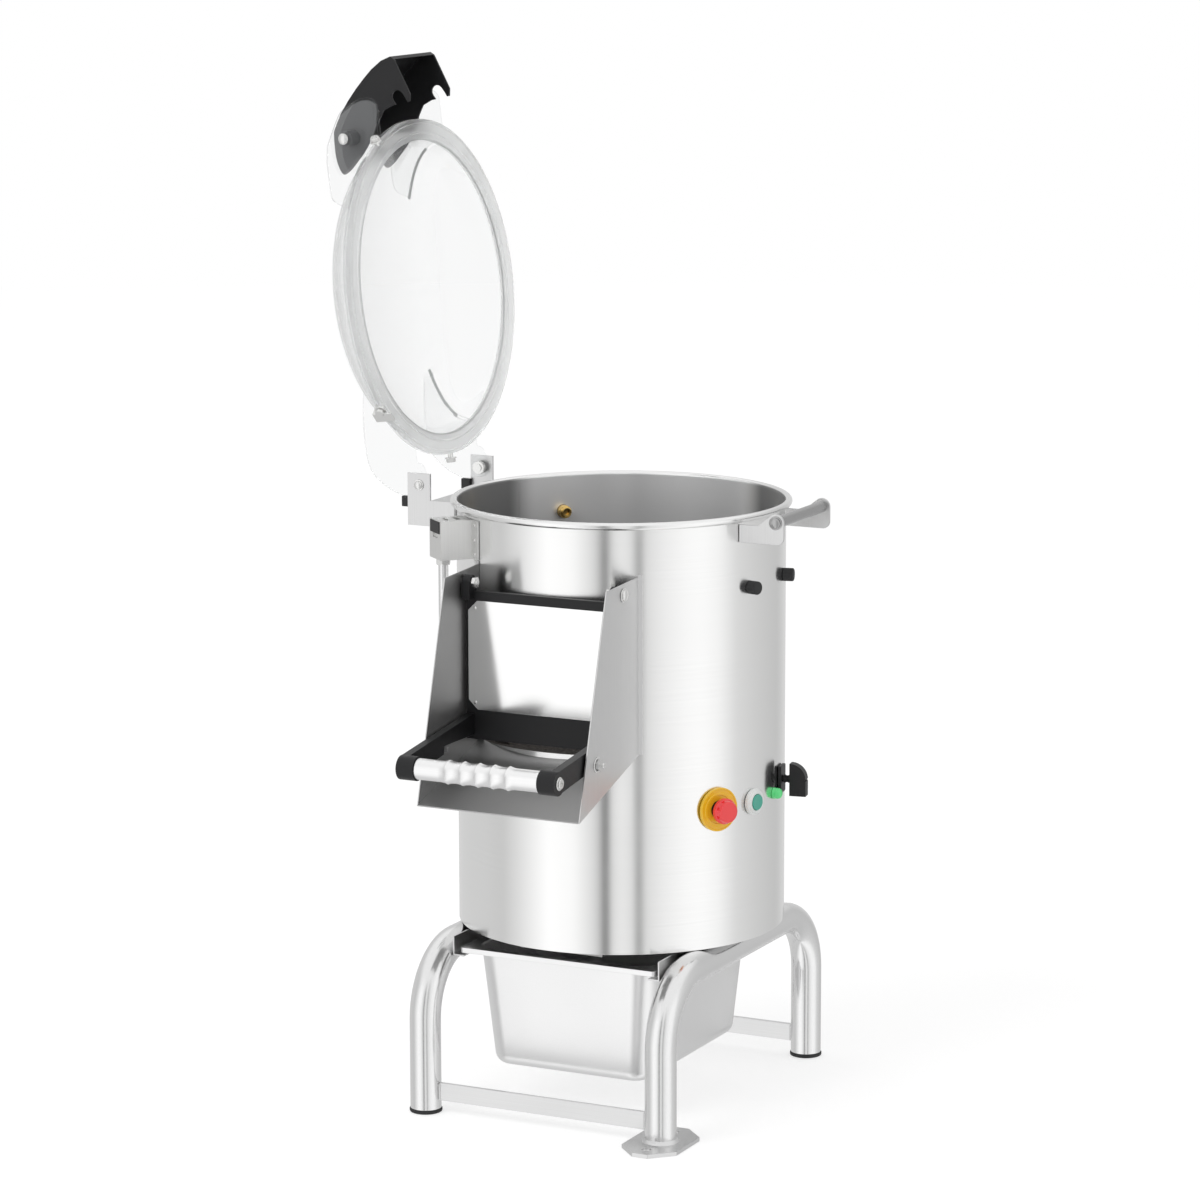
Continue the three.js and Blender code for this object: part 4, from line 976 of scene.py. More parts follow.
@dataclass(frozen=True)
class Moulded(Finish):
    """Plastic or rubber with a fine moulded skin."""

    texture: float = 900.0
    relief: float = 0.08
    coat: float = 0.0
    glow: float = 0.0
    softness: float = 0.0
    index: float = 1.5
    skin_detail: float = 2.0
    relief_depth: float = 0.0003
    cloud_scale: float = 14.0
    cloud_detail: float = 3.0
    cloud_depth: float = 0.03
    shade_share: float = 0.93
    coat_roughness: float = 0.06
    soft_depth: float = 0.004

    def surface(self, graph: Graph) -> bpy.types.NodeSocket:
        """Lays out the plastic.

        Args:
            graph: The tree to fill.

        Returns:
            The shader socket.
        """
        skin = graph.noise(graph.spots(), self.texture, self.skin_detail)
        clouds = graph.noise(graph.spots(), self.cloud_scale, self.cloud_detail)
        dark = tuple(c * self.shade_share for c in self.colour)
        colour = graph.mixed(graph.swing(clouds, 0.0, 1.0), dark, self.colour)
        cloudy = graph.swing(clouds, -self.cloud_depth, self.cloud_depth)
        roughness = graph.sum("ADD", cloudy, self.roughness)
        shader = graph.add(
            "ShaderNodeBsdfPrincipled",
            {
                "Base Color": colour, "Roughness": roughness, "Coat Weight": self.coat,
                "Coat Roughness": self.coat_roughness, "Subsurface Weight": self.softness,
                "Subsurface Scale": self.soft_depth, "Emission Color": (*self.colour, 1.0),
                "Emission Strength": self.glow, "IOR": self.index,
                "Normal": graph.bump(skin, self.relief, self.relief_depth),
            },
        )
        return shader.outputs[0]


@dataclass(frozen=True)
class Cast(Finish):
    """A rough cast or gritted face."""

    metallic: float = 0.0
    grit: float = 260.0
    relief: float = 0.6
    depth: float = 0.0015
    fine_share: float = 0.7
    fine_detail: float = 3.0
    dark_share: float = 0.6
    light_share: float = 1.35

    def surface(self, graph: Graph) -> bpy.types.NodeSocket:
        """Lays out the rough face.

        Args:
            graph: The tree to fill.

        Returns:
            The shader socket.
        """
        grains = graph.add("ShaderNodeTexVoronoi", {"Vector": graph.spots(), "Scale": self.grit})
        shade = graph.noise(graph.spots(), self.grit * self.fine_share, self.fine_detail)
        dark = tuple(c * self.dark_share for c in self.colour)
        light = tuple(min(c * self.light_share, 1.0) for c in self.colour)
        colour = graph.mixed(graph.swing(shade, 0.0, 1.0), dark, light)
        shader = graph.add(
            "ShaderNodeBsdfPrincipled",
            {
                "Base Color": colour, "Roughness": self.roughness, "Metallic": self.metallic,
                "Normal": graph.bump(grains.outputs["Distance"], self.relief, self.depth),
            },
        )
        return shader.outputs[0]


@dataclass(frozen=True)
class Clear(Finish):
    """Clear moulded plastic, seen straight through except where it is met at a low angle."""

    index: float = 1.45
    straight: float = 0.9
    grazing: float = 0.42
    tint: Colour = (0.996, 0.998, 0.998)
    blend: float = 0.4
    slant_start: float = 0.25
    slant_end: float = 0.95

    def surface(self, graph: Graph) -> bpy.types.NodeSocket:
        """Lays out the clear plastic.

        Args:
            graph: The tree to fill.

        Returns:
            The shader socket.
        """
        body = graph.add(
            "ShaderNodeBsdfPrincipled",
            {
                "Base Color": (*self.colour, 1.0), "Roughness": self.roughness, "IOR": self.index,
                "Transmission Weight": 1.0,
            },
        )
        ghost = graph.add("ShaderNodeBsdfTransparent", {"Color": (*self.tint, 1.0)})
        slant = graph.add("ShaderNodeLayerWeight", {"Blend": self.blend}).outputs["Facing"]
        through = graph.span(slant, self.slant_start, self.slant_end, self.straight, self.grazing)
        path = graph.add("ShaderNodeLightPath")
        light = graph.sum("MAXIMUM", path.outputs["Is Shadow Ray"], path.outputs["Is Diffuse Ray"])
        share = graph.sum("MAXIMUM", through, light)
        mix = graph.add("ShaderNodeMixShader", {0: share, 1: body.outputs[0], 2: ghost.outputs[0]})
        return mix.outputs[0]


FINISHES: dict[Slot, Finish] = {
    Slot.TUBE: Steel((0.80, 0.80, 0.80), 0.17, Grain.EVEN, scratch=0.02),
    Slot.FLAT: Steel((0.72, 0.72, 0.72), 0.32, Grain.CROSSWISE, 0.4),
    Slot.PAN: Steel((0.86, 0.86, 0.86), 0.33, Grain.EVEN, scratch=0.01, patchiness=0.01),
    # Inner face darkened as painted shade, rear of the inner wall lightened as painted light
    Slot.CASING: Steel(
        (0.86, 0.86, 0.855), 0.19, Grain.LEVEL, 0.7, 0.012, 0.015, inner_radius=0.1992,
        painted_shade_inner_colour=(0.25, 0.25, 0.25), painted_light_rear_colour=(0.93, 0.93, 0.93),
    ),
    # Inner face of the chute darkened as painted shade
    Slot.SHEET: Steel(
        (0.68, 0.68, 0.68), 0.34, Grain.UPRIGHT, 0.3, inner_half=0.1055,
        painted_shade_inner_colour=(0.46, 0.46, 0.46),
    ),
    Slot.BRIGHT: Steel((0.90, 0.90, 0.895), 0.14, Grain.UPRIGHT, scratch=0.01, patchiness=0.01),
    Slot.SWITCH: Steel((0.74, 0.74, 0.73), 0.4, Grain.UPRIGHT, 0.2),
    # Dark base colour: partly the steel's own tone, partly painted shade for the dark reflections on the
    # catch bar
    Slot.MACHINED: Steel((0.42, 0.42, 0.42), 0.22, Grain.EVEN),
    Slot.BOLT: Steel((0.76, 0.76, 0.75), 0.22, Grain.EVEN, scratch=0.03),
    Slot.HOUSING: Cast((0.20, 0.21, 0.22), 0.6, 0.4, 420.0, 0.3, 0.0008),
    Slot.ABRASIVE: Cast((0.10, 0.09, 0.08), 0.85, 0.0, 300.0, 0.9, 0.002),
    Slot.MOTOR: Moulded((0.045, 0.055, 0.068), 0.45, 700.0, 0.1),
    Slot.GRIP: Steel((0.90, 0.90, 0.90), 0.3, Grain.CROSSWISE, scratch=0.05),
    Slot.BRASS: Steel((0.72, 0.50, 0.17), 0.26, Grain.EVEN),
    Slot.BEZEL: Moulded((0.84, 0.86, 0.85), 0.3, 900.0, 0.03, 0.3),
    Slot.CLEAR: Clear((0.995, 1.0, 1.0), 0.02),
    Slot.SEAL: Clear((0.985, 0.99, 0.99), 0.32, 1.4, 0.52, 0.3),
    Slot.BLACK: Moulded((0.011, 0.011, 0.012), 0.42, 1200.0, 0.12, index=1.38),
    Slot.DARK_GREY: Moulded((0.11, 0.112, 0.115), 0.45, 1200.0, 0.1),
    Slot.GREY: Moulded((0.42, 0.43, 0.43), 0.45, 900.0, 0.06),
    Slot.CONDUIT: Moulded((0.46, 0.47, 0.47), 0.45, 700.0, 0.1),
    Slot.YELLOW: Moulded((1.0, 0.60, 0.02), 0.3, 900.0, 0.03, 0.3),
    Slot.RED: Moulded((0.98, 0.05, 0.055), 0.3, 900.0, 0.03, 0.4),
    Slot.GREEN: Moulded((0.06, 0.42, 0.31), 0.3, 900.0, 0.03, 0.4),
    Slot.LAMP: Moulded((0.10, 0.72, 0.22), 0.2, 900.0, 0.03, 0.6, 0.1),
    Slot.RUBBER: Moulded((0.022, 0.022, 0.023), 0.7, 800.0, 0.2),
    Slot.BELT: Moulded((0.018, 0.018, 0.019), 0.75, 800.0, 0.2),
}


class Workshop:
    """Holds the frame and the materials, and settles finished pieces."""

    def __init__(self, frame: dict) -> None:
        """Builds one material for each slot.
        """
        self.frame = frame
        self.materials = {slot: finish.build(slot.value) for slot, finish in FINISHES.items()}

    def copy_of(self, node: str) -> Bench:
        """A workable copy of a CAD node.

        Args:
            node: Name of the node.

        Returns:
            The copy on the bench.
        """
        return Bench.from_node(self.frame["nodes"][node])

    def settle(
        self, bench: Bench, name: str, body: Body, slot: Slot,
        nodes: tuple[str, ...] = (), smooth: float = 32.0,
    ) -> None:
        """Sets a finished piece into the frame.

        Args:
            bench: The piece.
            name: Its name.
            body: The body it moves with.
            slot: Its material slot.
            nodes: CAD nodes that it stands for.
            smooth: Edges under this many degrees are shaded smooth.
        """
        obj = bench.obj
        obj.data.transform(TO_METRES)
        obj.matrix_world = Matrix.Identity(4)
        obj.name = name
        obj.data.name = name
        obj.data.materials.clear()
        obj.data.materials.append(self.materials[slot])
        bench.take()
        bpy.ops.object.shade_smooth_by_angle(angle=math.radians(smooth))
        bench.modify("WEIGHTED_NORMAL", keep_sharp=True)
        Bench.clear()
        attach(obj, body.value)
        if nodes:
            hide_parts(*nodes)
        log.info("%s: %d faces, %s", name, len(obj.data.polygons), slot.value)

    def dress(self, node: str, slot: Slot) -> None:
        """Gives a CAD node that stays as it is its finish.

        Args:
            node: Name of the node.
            slot: Its material slot.
        """
        obj = self.frame["nodes"][node]
        for place in obj.material_slots:
            place.material = self.materials[slot]
        log.info("%s: kept, %s", node, slot.value)


class Fasteners:
    """Bolts, nuts, washers and rivets, each modelled once and then copied.

    Each is drawn about Z with its seat at zero.
    """

    def __init__(self) -> None:
        """Starts with an empty tray."""
        self.tray: dict[tuple[object, ...], Bench] = {}

    def copy_from(self, key: tuple[object, ...], make: Callable[[], Bench]) -> Bench:
        """Copies a fastener, making it first if it is new.

        Args:
            key: What tells it apart.
            make: Makes the first one.

        Returns:
            The copy.
        """
        if key not in self.tray:
            self.tray[key] = make()
        return self.tray[key].copy()

    def empty(self) -> None:
        """Throws away the patterns."""
        for pattern in self.tray.values():
            bpy.data.objects.remove(pattern.obj)
        self.tray.clear()

    def hex_head(self, radius: float, height: float) -> Bench:
        """A hexagon with its corners turned off.

        Args:
            radius: Radius over the corners.
            height: Its height.

        Returns:
            The head or nut.
        """
        def make() -> Bench:
            """Meets a hexagon with a turned blank."""
            flat, shoulder = radius * 0.87, height * 0.78
            profile = [(0, 0), (radius, 0), (radius, shoulder), (flat, height), (0, height)]
            hexagon = Bench.plate(cornered(6, radius * 1.01), -OVERRUN, height + OVERRUN)
            return Bench.turned(profile, 48).combined("INTERSECT", [hexagon])
        return self.copy_from(("hex", radius, height), make)

    def dome_head(self, radius: float, height: float) -> Bench:
        """A low round head.

        Args:
            radius: Its radius.
            height: Its height.

        Returns:
            The head.
        """
        def make() -> Bench:
            """Turns a quarter ellipse."""
            skirt = height * 0.3
            angles = [math.radians(degrees) for degrees in range(0, 90, 10)]
            curve = [(radius * math.cos(a), skirt + (height - skirt) * math.sin(a)) for a in angles]
            return Bench.turned([(0, 0), (radius, 0), *curve, (0, height)], 32)
        return self.copy_from(("dome", radius, height), make)

    def washer(self, radius: float, bore: float, height: float) -> Bench:
        """A flat washer.

        Args:
            radius: Its radius.
            bore: Radius of its hole.
            height: Its height.

        Returns:
            The washer.
        """
        def make() -> Bench:
            """Turns the ring with an eased rim."""
            ease = min(0.3, height / 3)
            return Bench.turned(
                [
                    (bore, 0), (radius - ease, 0), (radius, ease), (radius, height - ease),
                    (radius - ease, height), (bore, height), (bore, 0),
                ],
                40,
            )
        return self.copy_from(("washer", radius, bore, height), make)

    def socket_head(self, radius: float, height: float) -> Bench:
        """A cap screw's head with its hexagon socket.

        Args:
            radius: Its radius.
            height: Its height.

        Returns:
            The head.
        """
        def make() -> Bench:
            """Turns the head and sinks the socket."""
            ease, key, depth = 0.6, radius * 0.52, height * 0.4
            head = Bench.turned(
                [(0, 0), (radius, 0), (radius, height - ease), (radius - ease, height), (0, height)], 40
            )
            return head.cut(Bench.plate(cornered(6, key), depth, height + OVERRUN))
        return self.copy_from(("socket", radius, height), make)


@dataclass
class Assembly:
    """A sub-assembly, with the shop and the fasteners it is made with."""

    body: ClassVar[Body] = Body.MACHINE

    shop: Workshop
    kit: Fasteners

    def build(self) -> None:
        """Builds every piece of it."""
        raise NotImplementedError

    def fit(
        self, bench: Bench, name: str, slot: Slot, *nodes: str,
        body: Body | None = None, smooth: float = 32.0,
    ) -> None:
        """Sets a finished piece into the frame.

        Args:
            bench: The piece.
            name: Its name.
            slot: Its material slot.
            *nodes: CAD nodes that it stands for.
            body: The body it moves with, where it isn't the sub-assembly's own.
            smooth: Edges under this many degrees are shaded smooth.
        """
        self.shop.settle(bench, name, body or self.body, slot, nodes, smooth)

    def refit(self, node: str, name: str, slot: Slot, *ease: float, smooth: float = 32.0) -> None:
        """Copies a CAD node, rounds its edges and sets the copy in its place.

        Args:
            node: Name of the node.
            name: Name of the finished piece.
            slot: Its material slot.
            *ease: What Bench.eased takes, or nothing for plain edges.
            smooth: Edges under this many degrees are shaded smooth.
        """
        bench = self.shop.copy_of(node)
        if ease:
            bench.eased(*ease)
        self.fit(bench, name, slot, node, smooth=smooth)


@dataclass
class Stand(Assembly):
    """The two leg frames, their tie bars and feet."""

    spread: float = 158.0
    front: float = -218.0
    rear: float = 207.0
    radius: float = 19.0
    bend: float = 80.0
    foot: float = 5.0
    top: float = 194.7
    tie_low: float = 16.0
    tie_high: float = 38.0
    tie_half: float = 2.5
    gap: float = 0.3
    ease: float = 0.6
    weld_radius: float = 1.6
    weld_proud: float = 0.2
    weld_inset: float = 0.5
    plate_half_x: float = 36.0
    plate_half_y: float = 58.0
    plate_cut: float = 26.0
    hole_radius: float = 5.5
    hole_step: float = 39.0

    def build(self) -> None:
        """Builds the whole stand."""
        for name, side in (("left", -1), ("right", 1)):
            self.leg(name, side * self.spread)
        for name, y in (("front", self.front), ("rear", self.rear)):
            self.tie_bar(name, y)
        self.cap("front_left", -self.spread, self.front)
        self.cap("rear_right", self.spread, self.rear)
        self.plate("front_right", self.spread, self.front)
        self.plate("rear_left", -self.spread, self.rear)

    def leg(self, name: str, x: float) -> None:
        """One leg frame, bent from a single tube.

        Args:
            name: Its side.
            x: Its place along X.
        """
        shoulder = self.top - self.bend
        start = (x, self.front, self.foot + self.gap)
        rise = shoulder - start[2]
        run = (self.rear - self.bend) - (self.front + self.bend)
        moves = [
            Run((0, 0, rise)),
            Bend((x, self.front + self.bend, shoulder), (1, 0, 0), 90),
            Run((0, run, 0)),
            Bend((x, self.rear - self.bend, shoulder), (1, 0, 0), 90),
            Run((0, 0, -rise)),
        ]
        tube = Bench.tube(self.radius, start, moves, 56)
        self.fit(tube, f"{name}_leg_tube", Slot.TUBE, f"{name}_leg_frame")

    def tie_bar(self, name: str, y: float) -> None:
        """A flat bar welded between the frames.

        Args:
            name: Front or rear.
            y: Its place along Y.
        """
        end = self.spread - self.radius - self.gap
        half = self.tie_half
        bar = Bench.block((-end, y - half, self.tie_low), (end, y + half, self.tie_high))
        bar.eased(self.ease)
        self.fit(bar, f"{name}_tie", Slot.FLAT, f"{name}_tie_bar")
        length = self.tie_high - self.tie_low - 2 * self.weld_inset
        for side, mark in ((-1, "left"), (1, "right")):
            for face, where in ((-1, "outer"), (1, "inner")):
                x = side * (end - self.weld_radius / 2)
                bead = self.weld(length, self.weld_radius)
                bead.placed(shift(x, y + face * (half + self.weld_proud), self.tie_low + self.weld_inset))
                self.fit(bead, f"{name}_tie_{mark}_{where}_weld", Slot.FLAT)

    @staticmethod
    def weld(length: float, radius: float) -> Bench:
        """A bead of weld along Z, rippled as it was laid.

        Args:
            length: Its length.
            radius: Its mean radius.

        Returns:
            The bead.
        """
        pitch, phase, swell = 1.1, 2.1, 0.14
        count = max(int(length / pitch), 4)
        ripple = [
            (radius * (1 - swell + swell * math.sin(i * phase)), length * (i + 0.5) / count)
            for i in range(count)
        ]
        return Bench.turned([(0, 0), *ripple, (0, length)], 14)

    def cap(self, name: str, x: float, y: float) -> None:
        """A rubber cap under a leg.

        Args:
            name: Its corner.
            x: Its place along X.
            y: Its place along Y.
        """
        top = self.foot
        cap = Bench.turned(
            [(0, 0), (18.2, 0), (19.4, 0.5), (20, 1.6), (20, 3.8), (19.5, 4.7), (18.6, top), (0, top)], 56
        )
        cap.placed(shift(x, y, 0))
        self.fit(cap, f"{name}_rubber_cap", Slot.RUBBER, f"{name}_foot_cap")

    def plate(self, name: str, x: float, y: float) -> None:
        """A floor plate welded under a leg, with its two bolt holes.

        Args:
            name: Its corner.
            x: Its place along X.
            y: Its place along Y.
        """
        half_x, half_y = self.plate_half_x, self.plate_half_y
        outline = cut_corners((x - half_x, y - half_y), (x + half_x, y + half_y), self.plate_cut)
        drills = [
            Bench.rod(self.hole_radius, -self.foot, 2 * self.foot).placed(shift(x, y + step, 0))
            for step in (-self.hole_step, self.hole_step)
        ]
        plate = Bench.plate(outline, 0, self.foot).cut(*drills).eased(self.ease)
        self.fit(plate, f"{name}_floor_plate", Slot.FLAT, f"{name}_foot_plate")
        foot = self.foot
        seam = Bench.turned(
            [
                (18.4, foot), (22.3, foot), (21.6, foot + 1.4), (20.4, foot + 2.6), (19.2, foot + 4),
                (18.4, foot + 4), (18.4, foot),
            ],
            72,
        )
        seam.placed(shift(x, y, 0))
        self.fit(seam, f"{name}_foot_weld", Slot.FLAT)


@dataclass
class PeelPan(Assembly):
    """The pan that catches the peel, and the rails it slides on."""

    half_width: float = 132.5
    half_length: float = 162.5
    middle: float = -17.5
    rim_top: float = 198.0
    flange: float = 12.5
    depth: float = 150.0
    wall: float = 1.2
    lip: float = 6.5
    fillet: float = 14.0
    taper: float = 12.0
    corner: float = 41.0
    flange_corner: float = 5.0
    corner_steps: int = 12
    fillet_steps: int = 8
    # The turn from flange to wall, in steps inward and down
    flange_turn: tuple[Point, ...] = ((0.6, 0.0), (1.6, 0.8), (0.8, 2.2))

    def build(self) -> None:
        """Builds the pan and the rails."""
        for side in ("left", "right"):
            self.refit(f"{side}_pan_rail", f"{side}_rail", Slot.SHEET, 0.4)
        self.pan()

    def outline(self, corner: float) -> list[Point]:
        """The flange's outline.

        Args:
            corner: Radius of its corners.

        Returns:
            The outline's points.
        """
        half_x, half_y = self.half_width - self.wall, self.half_length - self.wall
        return rounded_box(half_x, half_y, corner, self.corner_steps)

    def pan(self) -> None:
        """Presses the pan from one sheet: flange, walls, filleted bottom and turned lip."""
        pan = Bench.chain([(x, y, 0.0) for x, y in self.outline(self.corner)])
        bpy.ops.mesh.edge_face_add()
        bpy.ops.mesh.inset(thickness=self.flange - self.wall, depth=0)
        for inward, downward in self.flange_turn:
            bpy.ops.mesh.inset(thickness=inward, depth=downward)
        turn_across, turn_down = (sum(step[i] for step in self.flange_turn) for i in (0, 1))
        drop = self.depth - self.wall - self.fillet - turn_down
        bpy.ops.mesh.extrude_region_move(TRANSFORM_OT_translate={"value": (0, 0, -drop)})
        tops = [half - self.flange - turn_across for half in (self.half_width, self.half_length)]
        bpy.ops.transform.resize(value=(*((top - self.taper) / top for top in tops), 1.0))
        for i in range(self.fillet_steps):
            here, there = (math.radians(90 * k / self.fillet_steps) for k in (i, i + 1))
            inward = self.fillet * (math.cos(here) - math.cos(there))
            downward = self.fillet * (math.sin(there) - math.sin(here))
            bpy.ops.mesh.inset(thickness=inward, depth=downward)
        bpy.ops.mesh.select_all(action="SELECT")
        bpy.ops.mesh.region_to_loop()
        bpy.ops.mesh.extrude_region_move(TRANSFORM_OT_translate={"value": (0, 0, -self.lip)})
        pan.close_sheet()
        self.square_off(pan)
        pan.modify("SOLIDIFY", thickness=self.wall, offset=-1.0)
        pan.eased(0.5, 3, 40)
        pan.placed(shift(0, self.middle, self.rim_top))
        self.fit(pan, "pan", Slot.PAN, "peel_pan", body=Body.PAN, smooth=40)

    def square_off(self, pan: Bench) -> None:
        """Draws the flange's outer corners out until they are nearly square.

        Args:
            pan: The sheet before it gets its thickness.
        """
        pairs = list(zip(self.outline(self.corner), self.outline(self.flange_corner)))
        for vertex in pan.obj.data.vertices:
            for old, new in pairs:
                if math.dist(vertex.co.xy, old) < self.wall / 10:
                    vertex.co.xy = new
                    break


@dataclass
class Drum(Assembly):
    """The drum casing and what closes it."""

    radius: float = 200.0
    wall: float = 1.5
    bottom: float = 214.0
    rim: float = 731.0
    # Where what stands on the wall starts, a hair outside it
    seat: float = 200.4
    bead: float = 4.5
    ease: float = 0.3
    rings: tuple[float, ...] = (300.0, 390.0, 500.0, 620.0)
    port_half: float = 98.0
    port_low: float = 456.0
    port_high: float = 640.0
    hole_reach: float = 15.0
    # Radius of the hole at each spot
    holes: tuple[tuple[Spot, float], ...] = (
        (Spot.STOP, 11.4), (Spot.START, 11.4), (Spot.LAMP, 6.4), (Spot.SELECTOR, 4.4),
        (Spot.NOZZLE, 8.4), (Spot.GLAND, 7.4),
    )
    seam_angle: float = 155.6
    seam_low: float = 441.0
    seam_high: float = 728.0

    def build(self) -> None:
        """Builds the casing and the two floors."""
        self.casing()
        for node, name in (("chamber_floor", "chamber_floor_sheet"), ("base_plate", "base_sheet")):
            self.refit(node, name, Slot.SHEET, self.ease)

    def casing(self) -> None:
        """Rolls the drum with its beaded rim and cuts the opening and the holes."""
        inner, outer = self.radius - self.wall, self.radius
        centre = inner + self.bead
        meet = math.degrees(math.acos((self.radius - centre) / self.bead))
        bead = round_arc((centre, self.rim), self.bead, -meet, 180, 26)
        profile = [
            (inner, self.bottom), (outer - self.ease, self.bottom), (outer, self.bottom + self.ease),
            *((outer, height) for height in self.rings), *bead,
            *((inner, height) for height in reversed(self.rings)), (inner, self.bottom),
        ]
        drum = Bench.turned(profile, 192)
        front, back, half = -outer - self.hole_reach, -outer / 2, self.port_half
        drum.cut(Bench.block((-half, front, self.port_low), (half, back, self.port_high)))
        for spot, size in self.holes:
            drum.cut(Bench.rod(size, -self.hole_reach, self.hole_reach).placed(spot.out(outer)))
        self.fit(drum, "casing", Slot.CASING, "drum_casing", smooth=30)
        crown, root = inner - 0.45, inner + 0.2
        outline = [(crown, -1.6), (root, -2.2), (root, 2.2), (crown, 1.6)]
        seam = Bench.plate(outline, self.seam_low, self.seam_high).placed(turn(self.seam_angle, "Z"))
        self.fit(seam, "casing_seam", Slot.CASING)


@dataclass
class DiscDrive(Assembly):
    """The abrasive disc, its shaft and bearings, the belt and the motor."""

    body: ClassVar[Body] = Body.DISC

    hub_top: float = 468.1

    def build(self) -> None:
        """Builds the disc and dresses what is hidden in the drum."""
        self.refit("abrasive_disc", "grit_disc", Slot.ABRASIVE, 1.6, 3, 20, smooth=40)
        head = self.kit.dome_head(7, 4).placed(shift(0, 0, self.hub_top))
        self.fit(head, "disc_screw", Slot.BOLT)
        kept = {
            "drive_shaft": Slot.MACHINED, "motor_shaft": Slot.MACHINED, "bearing_housing": Slot.HOUSING,
            "lower_bearing": Slot.MACHINED, "upper_bearing": Slot.MACHINED, "drive_belt": Slot.BELT,
            "motor_bracket": Slot.FLAT, "motor": Slot.MOTOR, "electrical_box": Slot.GREY,
        }
        for node, slot in kept.items():
            self.shop.dress(node, slot)


@dataclass
class Chute(Assembly):
    """The discharge chute with its hinge and stop bolts."""

    half_width: float = 106.5
    hinge: Point = (-212.0, 656.0)
    stop: Point = (-281.7, 467.8)
    shank: float = 4.0
    # What is trimmed off each flange, by distance from the middle, depth and height
    trim_x: Point = (110.2, 130.0)
    trim_y: Point = (-190.0, -140.0)
    trim_z: Point = (400.0, 700.0)

    def build(self) -> None:
        """Builds the chute and its bolts."""
        chute = self.shop.copy_of("chute")
        (front, rear), (low, high) = self.trim_y, self.trim_z
        for side in (-1, 1):
            near, far = sorted(side * x for x in self.trim_x)
            chute.cut(Bench.block((near, front, low), (far, rear, high)))
        chute.eased(0.35)
        self.fit(chute, "chute_sheet", Slot.SHEET, "chute")
        for name, side in (("left", -1), ("right", 1)):
            self.hinge_bolt(name, side)
            self.stop_bolt(name, side)

    @staticmethod
    def outward(side: int, x: float, spot: Point) -> Matrix:
        """Sets a fastener on a side panel so that it points outward.

        Args:
            side: -1 for the left panel and 1 for the right.
            x: Distance from the middle.
            spot: Its place along Y, and its height.

        Returns:
            The placing matrix.
        """
        return shift(0, *spot) @ facing(side) @ shift(x, 0, 0) @ ALONG_X

    def hinge_bolt(self, name: str, side: int) -> None:
        """A domed bolt with its washer through the panel and the door's ear.

        Args:
            name: Its side.
            side: -1 or 1.
        """
        face, thick, ease = self.half_width + 0.3, 1.2, 0.4
        end, nut_seat, top = 85.4, 86.5, face + thick + 0.2
        radius = self.shank
        bolt = self.kit.washer(8.2, radius, thick).placed(self.outward(side, face, self.hinge))
        head = self.kit.dome_head(6.6, 3.8).placed(self.outward(side, face + thick, self.hinge))
        shank = Bench.turned(
            [(0, end), (radius - ease, end), (radius, end + ease), (radius, top), (0, top)], 24
        ).placed(self.outward(side, 0, self.hinge))
        nut = self.kit.hex_head(7, 5).placed(self.outward(side, nut_seat, self.hinge))
        bolt.with_parts(head, shank, nut)
        self.fit(bolt, f"{name}_hinge_screw", Slot.BOLT, f"{name}_door_bolt")

    def stop_bolt(self, name: str, side: int) -> None:
        """The stop pin's tip and its washer, outside the panel.

        Args:
            name: Its side.
            side: -1 or 1.
        """
        pin_end, seat = self.half_width + 5.05, self.half_width + 0.1
        tip = Bench.turned([(0, 0), (3.4, 0), (3.4, 4.0), (2.8, 4.8), (0, 4.8)], 24)
        tip.placed(self.outward(side, pin_end, self.stop))
        tip.with_parts(self.kit.washer(9.2, 7.2, 1.2).placed(self.outward(side, seat, self.stop)))
        self.fit(tip, f"{name}_stop_stud", Slot.BOLT)


@dataclass
class Door(Assembly):
    """The chute's door with its face plate, arms and grip."""

    body: ClassVar[Body] = Body.DOOR

    grip_y: float = -371.0
    grip_z: float = 463.0
    grip_radius: float = 12.7
    crest: float = 14.4
    pitch: float = 19.6
    grip_half: float = 80.0
    grip_ease: float = 0.6
    wave_steps: int = 16
    wave_power: float = 0.75
    screw_x: float = 102.9
    rivet_x: float = 90.0
    rivet_y: float = -210.8
    rivet_low: float = 511.0
    rivet_high: float = 625.0

    def build(self) -> None:
        """Builds the door."""
        self.refit("chute_door", "door_panel", Slot.BLACK, 0.8)
        self.refit("door_face_plate", "face_plate", Slot.BRIGHT, 0.4)
        for mark, x in (("left", -self.rivet_x), ("right", self.rivet_x)):
            for level, z in (("low", self.rivet_low), ("high", self.rivet_high)):
                rivet = self.kit.dome_head(2.2, 1.0).placed(shift(x, self.rivet_y, z) @ FACING_FRONT)
                self.fit(rivet, f"{mark}_{level}_face_rivet", Slot.BOLT)
        for name in ("left", "right"):
            self.refit(f"{name}_door_arm", f"{name}_arm", Slot.BLACK, 1.0, 3, smooth=35)
        self.grip()

    def grip(self) -> None:
        """Turns the grip with its finger hollows, and fits a cap screw at each end."""
        steps, radius, half, ease = self.wave_steps, self.grip_radius, self.grip_half, self.grip_ease
        first = -2.0 * self.pitch
        waves: list[Point] = []
        for i in range(-steps // 2, 4 * steps + steps // 2 + 1):
            share = i / steps
            dip = (self.crest - radius) * abs(math.sin(math.pi * share)) ** self.wave_power
            waves.append((self.crest - dip, first + self.pitch * share))
        profile = [
            (0, -half), (radius - ease, -half), (radius, -half + ease), *waves,
            (radius, half - ease), (radius - ease, half), (0, half),
        ]
        grip = Bench.turned(profile, 64).placed(shift(0, self.grip_y, self.grip_z) @ ALONG_X)
        self.fit(grip, "grip", Slot.GRIP, "door_grip", smooth=24)
        for name, side in (("left", -1), ("right", 1)):
            along = facing(side) @ shift(self.screw_x, 0, 0) @ ALONG_X
            place = shift(0, self.grip_y, self.grip_z) @ along
            screw = self.kit.socket_head(6.2, 3.0).placed(place)
            screw.with_parts(self.kit.washer(8.0, 5.8, 0.8).placed(place))
            self.fit(screw, f"{name}_grip_screw", Slot.BOLT)


